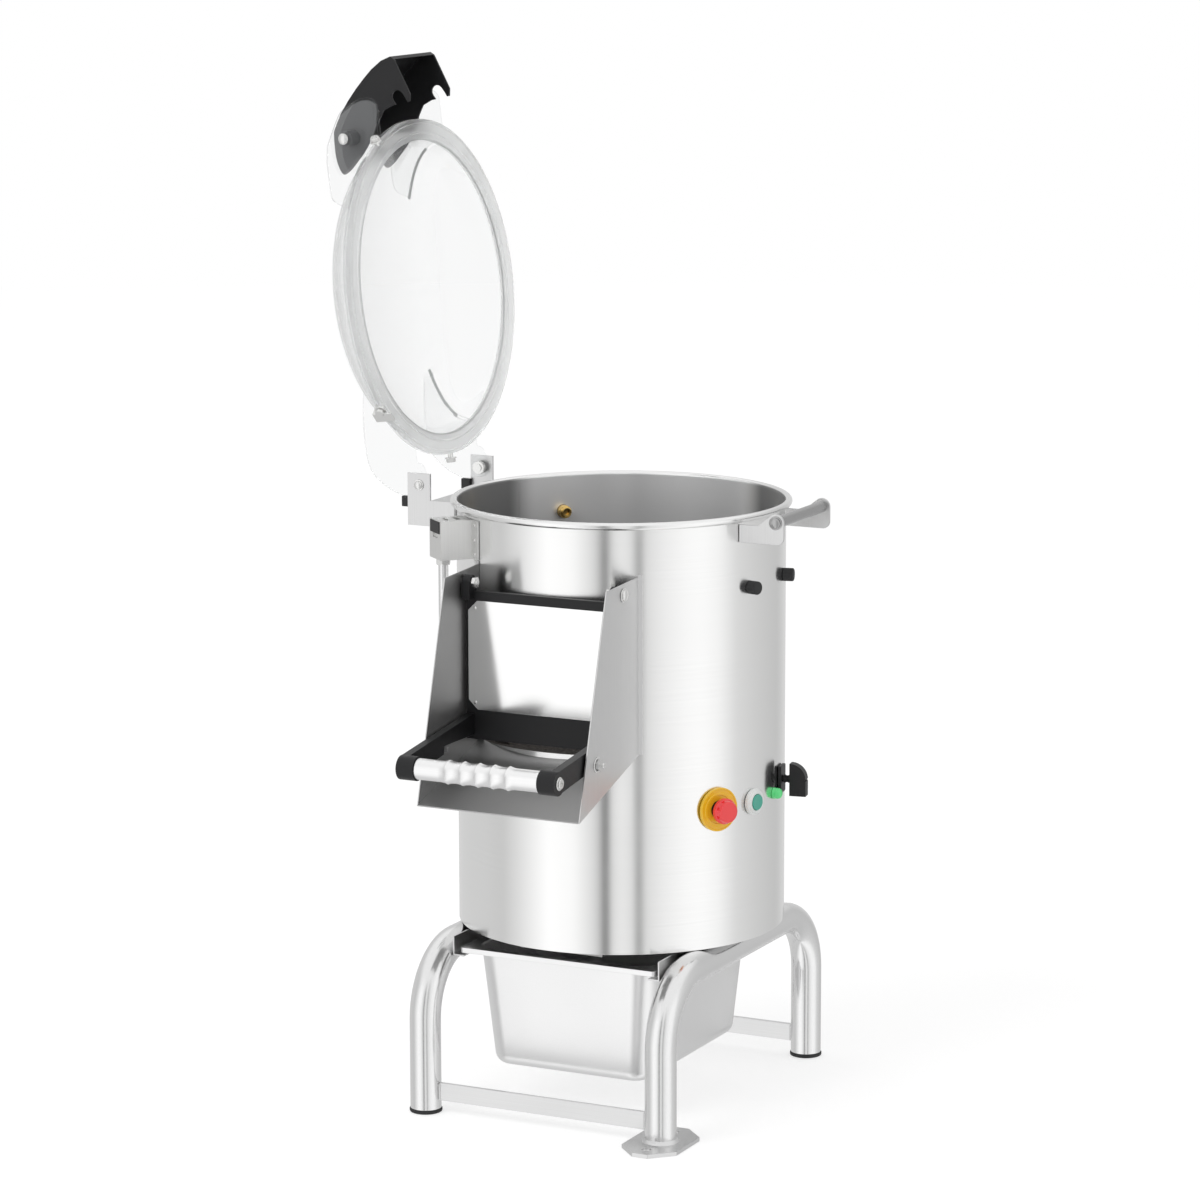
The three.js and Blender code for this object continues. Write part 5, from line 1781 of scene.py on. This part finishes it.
@dataclass
class LidHinge(Assembly):
    """The bracket on the drum that the lid turns in."""

    x: float = -234.0
    z: float = 744.5
    lug: float = 83.4
    lug_inner: float = 80.4
    foot_left: float = 15.5
    foot_right: float = 15.6
    foot_drop: float = 50.0
    foot_rise: float = 17.5
    nut_seat: float = 70.7
    shank: float = 4.8

    def build(self) -> None:
        """Builds the bracket, its bolts and its stop blocks."""
        bracket = self.shop.copy_of("hinge_bracket")
        left, right, low = self.x - self.foot_left, self.x + self.foot_right, self.z - self.foot_drop
        high = low + self.foot_rise
        corner = [(left, low), (right, low), (right, low + 1.0), (left + 1.0, high), (left, high)]
        fillings = [
            Bench.plate(corner, *sorted((side * self.lug_inner, side * self.lug))).placed(FACING_FRONT)
            for side in (-1, 1)
        ]
        bracket.combined("UNION", fillings).eased(0.5)
        self.fit(bracket, "lid_bracket", Slot.SHEET, "hinge_bracket")
        for name, side in (("front", -1), ("rear", 1)):
            self.refit(f"{name}_stop_block", f"{name}_rubber_block", Slot.RUBBER, 1.0, 3)
            axis = shift(self.x, 0, self.z) @ facing(side) @ ALONG_Y
            bolt = self.kit.washer(6.8, 4.9, 1.0).placed(axis @ shift(0, 0, self.lug + 0.3))
            head = self.kit.dome_head(5.4, 3.6).placed(axis @ shift(0, 0, self.lug + 1.2))
            nut = self.kit.hex_head(8, 5) if side < 0 else self.thumb_nut()
            nut.placed(axis @ shift(0, 0, self.nut_seat))
            shank = Bench.rod(self.shank, self.nut_seat - 1.5, self.lug + 1.6).placed(axis)
            bolt.with_parts(head, nut, shank)
            self.fit(bolt, f"{name}_lid_pivot", Slot.BOLT, f"{name}_hinge_bolt")

    @staticmethod
    def thumb_nut() -> Bench:
        """A knurled nut, drawn about Z.

        Returns:
            The nut.
        """
        return Bench.plate(cornered(48, 7.7, 8.6), 0, 5.2).eased(0.5, 2, 40)


@dataclass
class Lid(Assembly):
    """The clear dome with its gussets, its seal ring and the switch tongue."""

    body: ClassVar[Body] = Body.LID

    pivot_x: float = LidHinge.x
    pivot_z: float = LidHinge.z
    lift: float = 8.6
    opened: float = 97.0
    ring_inner: float = 181.0
    ring_outer: float = 206.0
    radius: float = 190.0
    height: float = 70.0
    wall: float = 3.0
    power: float = 2.2
    flange_low: float = 7.3
    flange_top: float = 10.3
    spread: float = 78.0
    latch_x: float = 192.5
    latch_z: float = 58.5
    lip_height: float = 2.4
    lip_radius: float = 0.8
    bolt_height: float = 3.2
    bolt_angles: Place = (332.0, 231.0, 181.5)
    seam_start: float = 107.0
    seam_length: float = 60.0
    seam_steps: int = 16
    seam_radius: float = 1.7
    seam_proud: float = 0.5
    gusset_half: float = 2.0
    pivot_hole: float = 5.3
    latch_hole: float = 3.3
    drill_reach: float = 100.0

    def opening(self) -> Matrix:
        """Where the open lid's own frame stands.

        Returns:
            The matrix from the closed lid to the open one.
        """
        closed = shift(-self.pivot_x, 0, -self.lift)
        return shift(self.pivot_x, 0, self.pivot_z) @ turn(-self.opened, "Y") @ closed

    def build(self) -> None:
        """Builds the lid."""
        place = self.opening()
        self.fit(self.dome().placed(place), "dome", Slot.CLEAR, "lid_dome")
        self.fit(self.seal().placed(place), "seal_ring", Slot.SEAL, "lid_seal", smooth=35)
        arc = round_arc((self.ring_inner, self.lip_height), self.lip_radius, 0, 360, 10)
        lip = Bench.turned([*arc[:-1], arc[0]], 160).placed(place)
        self.fit(lip, "seal_lip", Slot.CONDUIT)
        self.refit("switch_actuator", "switch_tongue", Slot.BOLT, 0.5)
        self.fit(self.seams().placed(place), "gusset_seams", Slot.GREY)
        for index, angle in enumerate(self.bolt_angles):
            bolt = self.ring_bolt().placed(place @ out_of_drum(angle, self.ring_outer, self.bolt_height))
            self.fit(bolt, f"ring_bolt_{index + 1}", Slot.BOLT)

    def seams(self) -> Bench:
        """The beads of cement along the gussets' feet.

        Returns:
            The four beads, drawn closed.
        """
        beads: list[Bench] = []
        for end in (-1, 1):
            for side in (-1, 1):
                y = side * (self.spread - self.gusset_half - 0.2)
                line: list[Place] = []
                for step in range(self.seam_steps + 1):
                    x = self.seam_start + self.seam_length * step / self.seam_steps
                    share = min(math.hypot(x, y) / self.radius, 1.0)
                    rise = self.height * (1 - share**self.power) ** (1 / self.power)
                    line.append((end * x, y, self.flange_top + rise + self.seam_proud))
                beads.append(Bench.bead(line, self.seam_radius))
        return beads[0].with_parts(*beads[1:])

    def ring_bolt(self) -> Bench:
        """A hexagon bolt that stands out of the ring's rim on its collar.

        Returns:
            The bolt, drawn about Z with the rim at zero.
        """
        top = 6.2
        collar = Bench.turned(
            [(0, -1.5), (3.2, -1.5), (3.2, 4.6), (6.9, 4.6), (7.3, 5.0), (7.3, 5.8), (6.9, top), (0, top)],
            36,
        )
        return collar.with_parts(self.kit.hex_head(5.8, 4.6).placed(shift(0, 0, top)))

    def curve(self, radius: float, height: float, steps: int = 30) -> list[Point]:
        """Half a dome from its foot to its top.

        Args:
            radius: Radius at the foot.
            height: Height over the foot.
            steps: Number of steps.

        Returns:
            The profile's points.
        """
        points: list[Point] = []
        for i in range(steps + 1):
            angle = math.radians(90 * i / steps)
            across = max(math.cos(angle), 0.0) ** (2 / self.power)
            up = math.sin(angle) ** (2 / self.power)
            points.append((radius * across, self.flange_top + height * up))
        points[-1] = (0.0, self.flange_top + height)
        return points

    def dome(self) -> Bench:
        """Joins the dome and its four gussets.

        Returns:
            The clear moulding, drawn closed.
        """
        outer = self.curve(self.radius, self.height)
        inner = self.curve(self.radius - self.wall, self.height - self.wall)
        rim, low, top, ease = self.ring_outer, self.flange_low, self.flange_top, 0.5
        profile = [
            (self.ring_inner, low), (rim - ease, low), (rim, low + ease), (rim, top - ease),
            (rim - ease, top), (self.radius + 1.2, top), *outer[1:], *reversed(inner),
            (self.ring_inner, low),
        ]
        shell = Bench.turned(profile, 144)
        for outline in (self.latch_gusset(), self.hinge_gusset()):
            for middle in (-self.spread, self.spread):
                gusset = Bench.plate(outline, middle - self.gusset_half, middle + self.gusset_half)
                gusset.placed(SIDE_VIEW).eased(0.7, 2, 40)
                shell.combined("UNION", [gusset.cut(self.hollow())])
        pivot = (self.pivot_x, self.lift, self.pivot_hole)
        latch = (self.latch_x, self.latch_z, self.latch_hole)
        for x, z, size in (pivot, latch):
            drill = Bench.rod(size, -self.drill_reach, self.drill_reach)
            shell.cut(drill.placed(shift(x, 0, z) @ ALONG_Y))
        return shell

    def hollow(self) -> Bench:
        """What a gusset leaves free: the bowl to the middle of its wall, and the seal below.

        Returns:
            The tool to cut with.
        """
        half, below = self.wall / 2, -40.0
        clear, middle = self.ring_outer + 0.35, self.flange_low + half
        profile = [
            (0, below), (clear, below), (clear, self.flange_low - 0.15), (clear - 1.4, middle),
            (self.radius - half + 1, middle), *self.curve(self.radius - half, self.height - half, 22),
        ]
        return Bench.turned(profile, 120)

    def latch_gusset(self) -> list[Point]:
        """The outline of a gusset that carries the latch.

        Returns:
            Points as distance from the axis and height.
        """
        corner = flowing([(104.0, 56.0), (111.0, 70.0), (115.5, 79.0), (121.0, 84.5), (128.5, 86.2)], 4)
        nose = flowing([
            (185.5, 83.0), (203.0, 73.5), (223.0, 61.0), (231.5, 49.0), (236.8, 37.0), (239.3, 25.0),
            (237.5, 14.5), (233.0, 9.5), (227.9, self.flange_low),
        ])
        return [*corner, (166.0, corner[-1][1]), *nose, (171.0, self.flange_low)]

    def hinge_gusset(self) -> list[Point]:
        """The outline of a gusset that carries the hinge.

        Returns:
            Points as distance from the axis and height.
        """
        back = flowing([
            (-117.8, 73.9), (-145.0, 77.5), (-171.0, 79.5), (-201.4, 78.3), (-220.4, 70.7), (-237.5, 51.4),
            (-246.0, 34.6),
        ])
        heel = round_arc((self.pivot_x, self.lift), 12.0, 180, 300, 14)
        foot = flowing([(-222.0, -1.0), (-214.5, 0.4), (-209.5, 3.6), (-207.2, 8.8)])
        return [(-106.4, 49.8), *back, *heel, *foot, (-206.4, self.flange_top), (-171.0, self.flange_top)]

    def seal(self) -> Bench:
        """The soft ring that closes on the drum's rim.

        Returns:
            The ring, drawn closed.
        """
        low, high = self.ring_inner, self.ring_outer
        return Bench.turned(
            [
                (low, 1.0), (low + 1, 0), (low + 6.4, 0), (low + 7.2, 0.9), (low + 8.6, 0.9), (low + 9.4, 0),
                (high - 5.6, 0), (high - 4.8, 0.8), (high - 3.6, 0.8), (high - 2.8, 0), (high - 1, 0),
                (high, 1.0), (high, 6.0), (high - 1, 7.0), (low + 1, 7.0), (low, 6.0), (low, 1.0),
            ],
            160,
        )


@dataclass
class Latch(Assembly):
    """The lever that hooks under the catch, between its two cheeks."""

    body: ClassVar[Body] = Body.LATCH

    lid: Lid
    plate_in: float = 52.3
    plate_out: float = 54.8
    boss: float = 9.0
    boss_out: float = 75.2
    bolt_end: float = 45.7
    bolt_seat: float = 80.3
    bolt_radius: float = 2.9

    def build(self) -> None:
        """Builds the lever and the cheeks with their bolts."""
        self.refit("latch_lever", "lever", Slot.BLACK, 1.3, 3, 24, smooth=40)
        for name, side in (("front", -1), ("rear", 1)):
            cheek = self.cheek(side).placed(self.lid.opening())
            self.fit(cheek, f"{name}_cheek", Slot.DARK_GREY, f"{name}_latch_cheek")
            bolt = self.pivot_bolt().placed(self.lid.opening() @ self.pivot(side))
            self.fit(bolt, f"{name}_latch_bolt", Slot.BOLT)

    def pivot(self, side: int) -> Matrix:
        """Sets a piece drawn about Z on the latch's axis, facing outward.

        Args:
            side: -1 for the near end and 1 for the far one.

        Returns:
            The placing matrix on the closed lid.
        """
        return shift(self.lid.latch_x, 0, self.lid.latch_z) @ facing(side) @ ALONG_Y

    def cheek(self, side: int) -> Bench:
        """A plate with its round boss, moulded in one.

        Args:
            side: -1 for the near one and 1 for the far one.

        Returns:
            The cheek, drawn on the closed lid.
        """
        outline = flowing([
            (202.0, 85.3), (189.0, 86.5), (171.0, 86.5), (157.0, 83.5), (149.0, 78.5), (151.0, 71.5),
            (156.0, 64.5), (163.0, 57.0), (172.0, 47.5), (186.0, 36.0), (205.0, 25.5), (226.0, 22.0),
            (233.5, 28.0), (236.0, 38.0), (234.0, 50.0), (228.0, 61.5), (220.0, 74.0), (202.0, 85.3),
        ], 4)[:-1]
        near, far = sorted((side * self.plate_in, side * self.plate_out))
        cheek = Bench.plate(outline, near, far).placed(SIDE_VIEW)
        boss = Bench.rod(self.boss, self.plate_in + 0.8, self.boss_out, 48).placed(self.pivot(side))
        return cheek.combined("UNION", [boss]).eased(0.7, 3, 40)

    def pivot_bolt(self) -> Bench:
        """A domed bolt outside the gusset, its shank and its nut inside the lever.

        Returns:
            The bolt, drawn about Z from the lid's middle.
        """
        shank = Bench.rod(self.bolt_radius, self.bolt_end, self.bolt_seat + 0.3, 24)
        return shank.with_parts(
            self.kit.washer(6.8, 3.0, 0.9).placed(shift(0, 0, self.bolt_seat)),
            self.kit.dome_head(5.9, 2.9).placed(shift(0, 0, self.bolt_seat + 0.8)),
            self.kit.hex_head(6.0, 3.0).placed(shift(0, 0, self.bolt_end + 2.7) @ turn(180, "X")),
        )


@dataclass
class Catch(Assembly):
    """The catch on the drum's rim, and the bumpers under it."""

    x: float = 236.0
    z: float = 728.9
    eye: float = 10.5
    root: float = 188.9
    low: float = 702.6
    high: float = 724.0
    corner: float = 9.0
    hole: float = 4.4
    plate_in: float = 66.0
    plate_out: float = 69.0
    bumper_angle: float = 14.0
    bumper_height: float = 646.0

    def build(self) -> None:
        """Builds the plates, the bar and the bumpers."""
        for name, side in (("front", -1), ("rear", 1)):
            self.plate(name, side)
            bumper = Bench.turned([(0, 0), (8, 0), (8, 11.0), (7.6, 12.0), (6.6, 12.6), (0, 12.6)], 40)
            bumper.placed(out_of_drum(side * self.bumper_angle, Drum.seat, self.bumper_height))
            self.fit(bumper, f"{name}_rubber_bumper", Slot.RUBBER, f"{name}_bumper")
        self.bar()

    def plate(self, name: str, side: int) -> None:
        """A plate from the drum's wall to the bar, rounded about the bar's bolt.

        Args:
            name: Its place.
            side: -1 for the front plate and 1 for the rear one.
        """
        turn_x, turn_z = self.x + self.eye - self.corner, self.low + self.corner
        outline = [
            (self.root, self.low), (turn_x, self.low),
            *round_arc((turn_x, turn_z), self.corner, -80.0, 0.0, 8),
            *round_arc((self.x, self.z), self.eye, 0.0, 118.0, 14),
            (self.root + 24.0, self.high), (self.root, self.high),
        ]
        inner, outer = sorted((-side * self.plate_in, -side * self.plate_out))
        plate = Bench.plate(outline, inner, outer)
        drill = Bench.rod(self.hole, inner - OVERRUN, outer + OVERRUN)
        plate.cut(drill.placed(shift(self.x, self.z, 0)))
        plate.placed(FACING_FRONT).eased(0.5)
        self.fit(plate, f"{name}_catch", Slot.SHEET, f"{name}_catch_plate")

    def bar(self) -> None:
        """Turns the bar and fits a domed bolt outside each plate."""
        face, end, thick = self.plate_in - 0.3, self.plate_out + 0.4, 1.2
        half = [(7.0, face - 0.6), (6.4, face), (4.0, face), (4.0, end), (0, end)]
        mirrored = [(radius, -height) for radius, height in reversed(half)]
        bar = Bench.turned([*mirrored, *half], 40).placed(shift(self.x, 0, self.z) @ ALONG_Y)
        seat = self.plate_out + 0.3
        for side in (-1, 1):
            axis = shift(self.x, 0, self.z) @ facing(side) @ ALONG_Y
            bar.with_parts(
                self.kit.washer(8.2, 4.1, thick).placed(axis @ shift(0, 0, seat)),
                self.kit.dome_head(6.8, 4.0).placed(axis @ shift(0, 0, seat + thick)),
            )
        self.fit(bar, "latch_bar", Slot.MACHINED, "catch_bar")


@dataclass
class LidSwitch(Assembly):
    """The safety switch's box under the lid's hinge side, and its conduit."""

    angle: float = -130.5
    bottom: float = 675.0
    reach: float = 227.0
    side: float = -12.5
    entry: float = 415.0
    bend: float = 22.0
    pipe_radius: float = 6.0
    nut_radius: float = 9.0
    nut_height: float = 9.6
    rivet_turn: float = 7.2
    rivet_reach: float = 202.9
    rivet_heights: Place = (681.0, 698.5, 716.0)
    window_reach: float = 242.05
    window_height: float = 714.0

    def build(self) -> None:
        """Builds the box, its rivets, its window and the conduit."""
        self.refit("lid_switch_box", "switch_box", Slot.SWITCH, 0.5)
        for index, height in enumerate(self.rivet_heights):
            place = out_of_drum(self.angle + self.rivet_turn, self.rivet_reach, height)
            rivet = self.kit.dome_head(2.4, 1.2).placed(place)
            self.fit(rivet, f"switch_rivet_{index + 1}", Slot.BOLT)
        window = Bench.plate(rounded_box(14.6, 7.3, 1.0), 0, 0.8)
        window.placed(out_of_drum(self.angle, self.window_reach, self.window_height)).eased(0.2)
        self.fit(window, "switch_window", Slot.BLACK)
        self.conduit()

    def conduit(self) -> None:
        """Bends the conduit and fits its two gland nuts."""
        top, low = self.bottom - 0.3, self.entry + self.bend
        inward = self.reach - self.bend
        moves = [
            Run((0, 0, low - top)),
            Bend((inward, self.side, low), (0, 1, 0), -90),
            Run((Drum.seat - inward, 0, 0)),
        ]
        pipe = Bench.tube(self.pipe_radius, (self.reach, self.side, top), moves, 32)
        nut, gland = (self.kit.hex_head(self.nut_radius, self.nut_height) for _ in range(2))
        nut.placed(shift(self.reach, self.side, top) @ turn(180, "X"))
        gland.placed(shift(Drum.seat, self.side, self.entry) @ ALONG_X)
        pipe.placed(turn(self.angle, "Z"))
        self.fit(pipe, "conduit", Slot.TUBE, "switch_conduit")
        nut.with_parts(gland).placed(turn(self.angle, "Z"))
        self.fit(nut, "conduit_nuts", Slot.BOLT)


@dataclass
class Controls(Assembly):
    """Emergency stop, start button, lamp and selector on the drum's right."""

    stop_reach: float = 211.3
    flutes: int = 8
    flute_radius: float = 2.7
    flute_circle: float = 15.4
    flute_low: float = 6.6
    flute_high: float = 20.0
    button_reach: float = Drum.radius
    knob_reach: float = 205.7
    knob_half: float = 6.5

    def build(self) -> None:
        """Builds the four controls."""
        self.emergency_stop()
        self.start()
        self.lamp()
        self.selector()

    def emergency_stop(self) -> None:
        """A yellow disc with a red twist-release head."""
        disc = Bench.turned(
            [
                (11.3, 0), (26, 0), (26.5, 0.6), (26.5, 3.4), (25.9, 4.0), (24.6, 4.0), (24.0, 3.2),
                (20.5, 2.9), (19.8, 3.6), (17.4, 3.6), (16.8, 2.9), (11.3, 2.9), (11.3, 0),
            ],
            72,
        ).placed(Spot.STOP.out(Drum.seat))
        self.fit(disc, "stop_disc", Slot.YELLOW, "estop_plate", smooth=28)
        self.refit("estop_barrel", "stop_barrel", Slot.BLACK)
        head = Bench.turned(
            [
                (0, -14.8), (8, -14.8), (8, 0), (14.6, 0), (15.5, 1.0), (15.5, 5.2), (14.4, 6.4), (13.6, 7.4),
                (13.3, 10.6), (12.4, 12.2), (10.6, 12.9), (7.0, 12.6), (0, 12.2),
            ],
            72,
        )
        for k in range(self.flutes):
            flute = Bench.rod(self.flute_radius, self.flute_low, self.flute_high, 20)
            around = turn(360 / self.flutes * (k + 0.5), "Z")
            head.cut(flute.placed(around @ shift(self.flute_circle, 0, 0)))
        head.placed(Spot.STOP.out(self.stop_reach))
        self.fit(head, "stop_head", Slot.RED, "estop_mushroom", body=Body.STOP, smooth=30)

    def start(self) -> None:
        """A round green push button in its bezel."""
        base = Bench.turned(
            [
                (9.8, 0), (15.4, 0), (16, 0.6), (16, 4.2), (15.2, 5.0), (13.6, 5.4), (13.0, 6.6), (12.2, 7.0),
                (10.4, 7.0), (9.8, 6.4), (9.8, 0),
            ],
            64,
        ).placed(Spot.START.out(Drum.seat))
        barrel = self.shop.copy_of("start_bezel")
        barrel.cut(Bench.rod(30, 0, 20).placed(Spot.START.out(Drum.seat - 0.3)))
        base.with_parts(barrel)
        self.fit(base, "start_ring", Slot.BEZEL, "start_bezel", smooth=28)
        button = Bench.turned(
            [(0, -11.7), (9.5, -11.7), (9.5, 8.0), (9.1, 8.7), (8.3, 9.0), (7.0, 8.7), (0, 8.2)], 56
        ).placed(Spot.START.out(self.button_reach))
        self.fit(button, "start_push_button", Slot.GREEN, "start_button", body=Body.START, smooth=35)

    def lamp(self) -> None:
        """A small green lens in a collar."""
        lens = Bench.turned(
            [
                (0, -30), (6, -30), (6, 0), (7, 0), (7, 1.8), (6.5, 2.3), (6.5, 4.0), (6.8, 4.4), (6.5, 4.9),
                (6.4, 6.6), (5.8, 8.4), (4.4, 9.8), (2.4, 10.7), (0, 11.0),
            ],
            48,
        ).placed(Spot.LAMP.out(Drum.seat))
        self.fit(lens, "lamp", Slot.LAMP, "pilot_lamp", smooth=30)

    def selector(self) -> None:
        """A black turn knob on a narrow plate."""
        thick = 4.0
        plate = Bench.plate(rounded_box(11.5, 17, 2.5), 0, thick).eased(0.7, 3)
        plate.cut(Bench.rod(4.3, -OVERRUN, thick + OVERRUN)).placed(Spot.SELECTOR.out(Drum.seat))
        self.fit(plate, "selector_plate", Slot.BLACK, "rotary_plate")
        neck = Bench.turned(
            [
                (0, -36.6), (4, -36.6), (4, 0), (5, 0), (5, 1.6), (4.2, 2.6), (4.2, 4.6), (5, 5.8), (5, 9),
                (0, 9),
            ],
            40,
        )
        foot, top, half = 7.6, 28.0, 20.0
        outline = [(foot, -half), (top, -half), *round_arc((top - half, 0.0), half, 0, 90, 12), (foot, half)]
        handle = Bench.plate([(y, x) for x, y in outline], -self.knob_half, self.knob_half)
        handle.placed(ALONG_X).eased(1.2, 3, 35)
        handle.cut(Bench.block((-10, -0.9, top - 1.4), (10, 0.9, top + 4)))
        neck.with_parts(handle).placed(Spot.SELECTOR.out(self.knob_reach))
        self.fit(neck, "selector_knob", Slot.BLACK, "rotary_handle", body=Body.SELECTOR, smooth=35)


@dataclass
class Services(Assembly):
    """The water nozzle and the cable gland at the drum's rear."""

    inner: float = 198.1

    def build(self) -> None:
        """Builds both."""
        nozzle = Bench.turned(
            [
                (0, -10), (3.0, -10), (3.2, -13.6), (5.6, -13.9), (6.2, -13.2), (6.2, -11.4), (7.2, -10.6),
                (7.8, -9.6), (7.8, -7.4), (7.0, -6.6), (7.0, -5.6), (8.0, -4.8), (8.0, 2.4), (0, 2.4),
            ],
            48,
        ).placed(Spot.NOZZLE.out(self.inner))
        outside = Bench.turned(
            [
                (0, 0), (8, 0), (11, 0), (11, 10.8), (8.2, 11), (8.2, 12.8), (7.6, 13.8), (8.2, 15.8),
                (7.6, 18.8), (8.2, 20.8), (7.6, 23.8), (8.2, 25.8), (7.6, 28.8), (8.2, 30.8), (7.2, 33.8),
                (4, 33.8), (4, 19.8), (0, 19.8),
            ],
            48,
        ).placed(Spot.NOZZLE.out(Drum.seat))
        flange = self.kit.hex_head(11, 11).placed(Spot.NOZZLE.out(Drum.seat))
        nozzle.with_parts(outside, flange)
        self.fit(nozzle, "nozzle", Slot.BRASS, "water_nozzle", smooth=30)
        gland = Bench.turned(
            [
                (3.5, -11), (7, -11), (7, 0), (10, 0), (10, 10), (9, 11), (8.4, 15), (7, 21), (6.2, 22),
                (3.5, 22), (3.5, -11),
            ],
            40,
        ).placed(Spot.GLAND.out(Drum.seat))
        self.fit(gland, "gland", Slot.BLACK, "cable_gland", smooth=30)


@dataclass
class Studio:
    """Floor, light and camera."""

    floor_radius: float = 9.0
    floor_drop: float = 0.0004
    floor_lift: float = 0.66
    floor_white: float = 0.8
    floor_shade: float = 0.42
    ambient: float = 0.8
    panel_peak: float = 1.25
    overhead_start: float = 0.35
    overhead_end: float = 0.75
    # What the metal mirrors round it: degrees from straight behind the camera, and brightness
    panels: tuple[Point, ...] = (
        (-180, 0.70), (-150, 0.70), (-112, 0.70), (-92, 0.66), (-76, 0.86), (-53, 1.20), (-34, 1.13),
        (-20, 0.84), (-15.5, 0.66), (-13, 0.24), (-9.5, 0.24), (-7, 0.84), (0, 0.96), (8, 0.86),
        (10.5, 0.38), (13.5, 0.38), (16, 0.82), (30, 0.99), (46, 1.11), (58, 1.14), (72, 1.06),
        (88, 0.80), (108, 0.70), (126, 0.64), (140, 0.60), (160, 0.70), (180, 0.70),
    )
    key_watts: float = 95.0
    key_size: float = 3.2
    key_place: Place = (-1.6, -3.6, 4.2)
    key_aim: Place = (0.05, 0.05, 0.5)
    sensor: float = 36.0
    far: float = 100.0
    lens: float = 134.5105
    eye: Place = (2.42352, -4.76219, 1.59114)
    right: Place = (0.89586161, 0.4443289, -0.00195084)
    up: Place = (-0.07835407, 0.16229711, 0.98362609)
    ahead: Place = (-0.43737012, 0.88104, -0.18021073)
    facing: float = 63.9

    def build(self) -> None:
        """Sets up the studio."""
        self.floor()
        self.world()
        self.lamps()
        self.camera()

    def floor(self) -> None:
        """A pale floor that keeps the shadow and is white to the camera elsewhere."""
        Bench.clear()
        bpy.ops.mesh.primitive_circle_add(
            vertices=96, radius=self.floor_radius, fill_type="NGON", location=(0, 0, -self.floor_drop)
        )
        floor = bpy.context.object
        floor.name = "floor"
        material = bpy.data.materials.new("floor")
        material.use_nodes = True
        graph = Graph(material.node_tree)
        matte, shade = (
            graph.add("ShaderNodeBsdfDiffuse", {"Color": (tone, tone, tone, 1.0)})
            for tone in (self.floor_white, self.floor_shade)
        )
        lift = graph.add("ShaderNodeEmission", {"Color": (1, 1, 1, 1), "Strength": self.floor_lift})
        seen = graph.add("ShaderNodeAddShader", {0: shade.outputs[0], 1: lift.outputs[0]})
        graph.finish(graph.by_ray(seen, graph.add("ShaderNodeBsdfTransparent"), matte))
        floor.data.materials.append(material)

    def world(self) -> None:
        """Soft light all round, with bright panels and narrow dark gaps for the metal."""
        world = bpy.data.worlds.new("studio")
        bpy.context.scene.world = world
        world.use_nodes = True
        graph = Graph(world.node_tree)
        way = graph.add("ShaderNodeTexCoord").outputs["Generated"]
        parts = graph.add("ShaderNodeSeparateXYZ", {0: way})
        heading = graph.sum("ARCTAN2", parts.outputs[1], parts.outputs[0])
        turned = graph.sum("ADD", graph.sum("DEGREES", heading), self.facing)
        wrapped = graph.add("ShaderNodeMath", {0: turned, 1: 180.0, 2: -180.0}, operation="WRAP")
        share = graph.sum("DIVIDE", graph.sum("ADD", wrapped.outputs[0], 180.0), 360.0)
        ramp = graph.add("ShaderNodeValToRGB", {0: share})
        marks = ramp.color_ramp.elements
        while len(marks) > 1:
            marks.remove(marks[-1])
        for index, (angle, value) in enumerate(self.panels):
            mark = marks[0] if index == 0 else marks.new((angle + 180) / 360)
            mark.position = (angle + 180) / 360
            mark.color = (*(value / self.panel_peak,) * 3, 1.0)
        overhead = graph.span(parts.outputs[2], self.overhead_start, self.overhead_end, 0.0, 1.0)
        panels = graph.mixed(overhead, ramp.outputs[0], (1.0 / self.panel_peak,) * 3)
        lights = ((panels, self.panel_peak), ((1, 1, 1, 1), self.ambient), ((1, 1, 1, 1), 1.0))
        mirrored, soft, white = (
            graph.add("ShaderNodeBackground", {"Color": colour, "Strength": strength})
            for colour, strength in lights
        )
        graph.finish(graph.by_ray(white, mirrored, soft), "ShaderNodeOutputWorld")

    def lamps(self) -> None:
        """One large soft lamp, high on the camera's left."""
        Bench.clear()
        bpy.ops.object.light_add(type="AREA", location=self.key_place)
        lamp = bpy.context.object
        lamp.name = "key_lamp"
        lamp.data.shape = "DISK"
        lamp.data.size = self.key_size
        lamp.data.energy = self.key_watts
        aim = Vector(self.key_aim) - Vector(self.key_place)
        lamp.rotation_euler = aim.to_track_quat("-Z", "Y").to_euler()
        lamp.visible_glossy = False

    def camera(self) -> None:
        """The camera at the photograph's viewpoint."""
        Bench.clear()
        bpy.ops.object.camera_add(location=self.eye)
        camera = bpy.context.object
        camera.name = "camera"
        camera.data.lens = self.lens
        camera.data.sensor_width = self.sensor
        camera.data.sensor_fit = "HORIZONTAL"
        camera.data.clip_end = self.far
        back = -Vector(self.ahead)
        columns = Matrix((self.right, self.up, back)).transposed()
        camera.matrix_world = Matrix.Translation(self.eye) @ columns.to_4x4()
        bpy.context.scene.camera = camera


def main() -> None:
    """Builds the peeler in order and sets up the studio."""
    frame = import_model()
    shop = Workshop(frame)
    kit = Fasteners()
    lid = Lid(shop, kit)
    assemblies = [
        Stand(shop, kit), PeelPan(shop, kit), Drum(shop, kit), DiscDrive(shop, kit), Chute(shop, kit),
        Door(shop, kit), LidHinge(shop, kit), lid, Latch(shop, kit, lid), Catch(shop, kit),
        LidSwitch(shop, kit), Controls(shop, kit), Services(shop, kit),
    ]
    for assembly in assemblies:
        assembly.build()
    kit.empty()
    Studio().build()
    bpy.context.scene.view_settings.view_transform = "Standard"


if __name__ == "__main__":
    main()
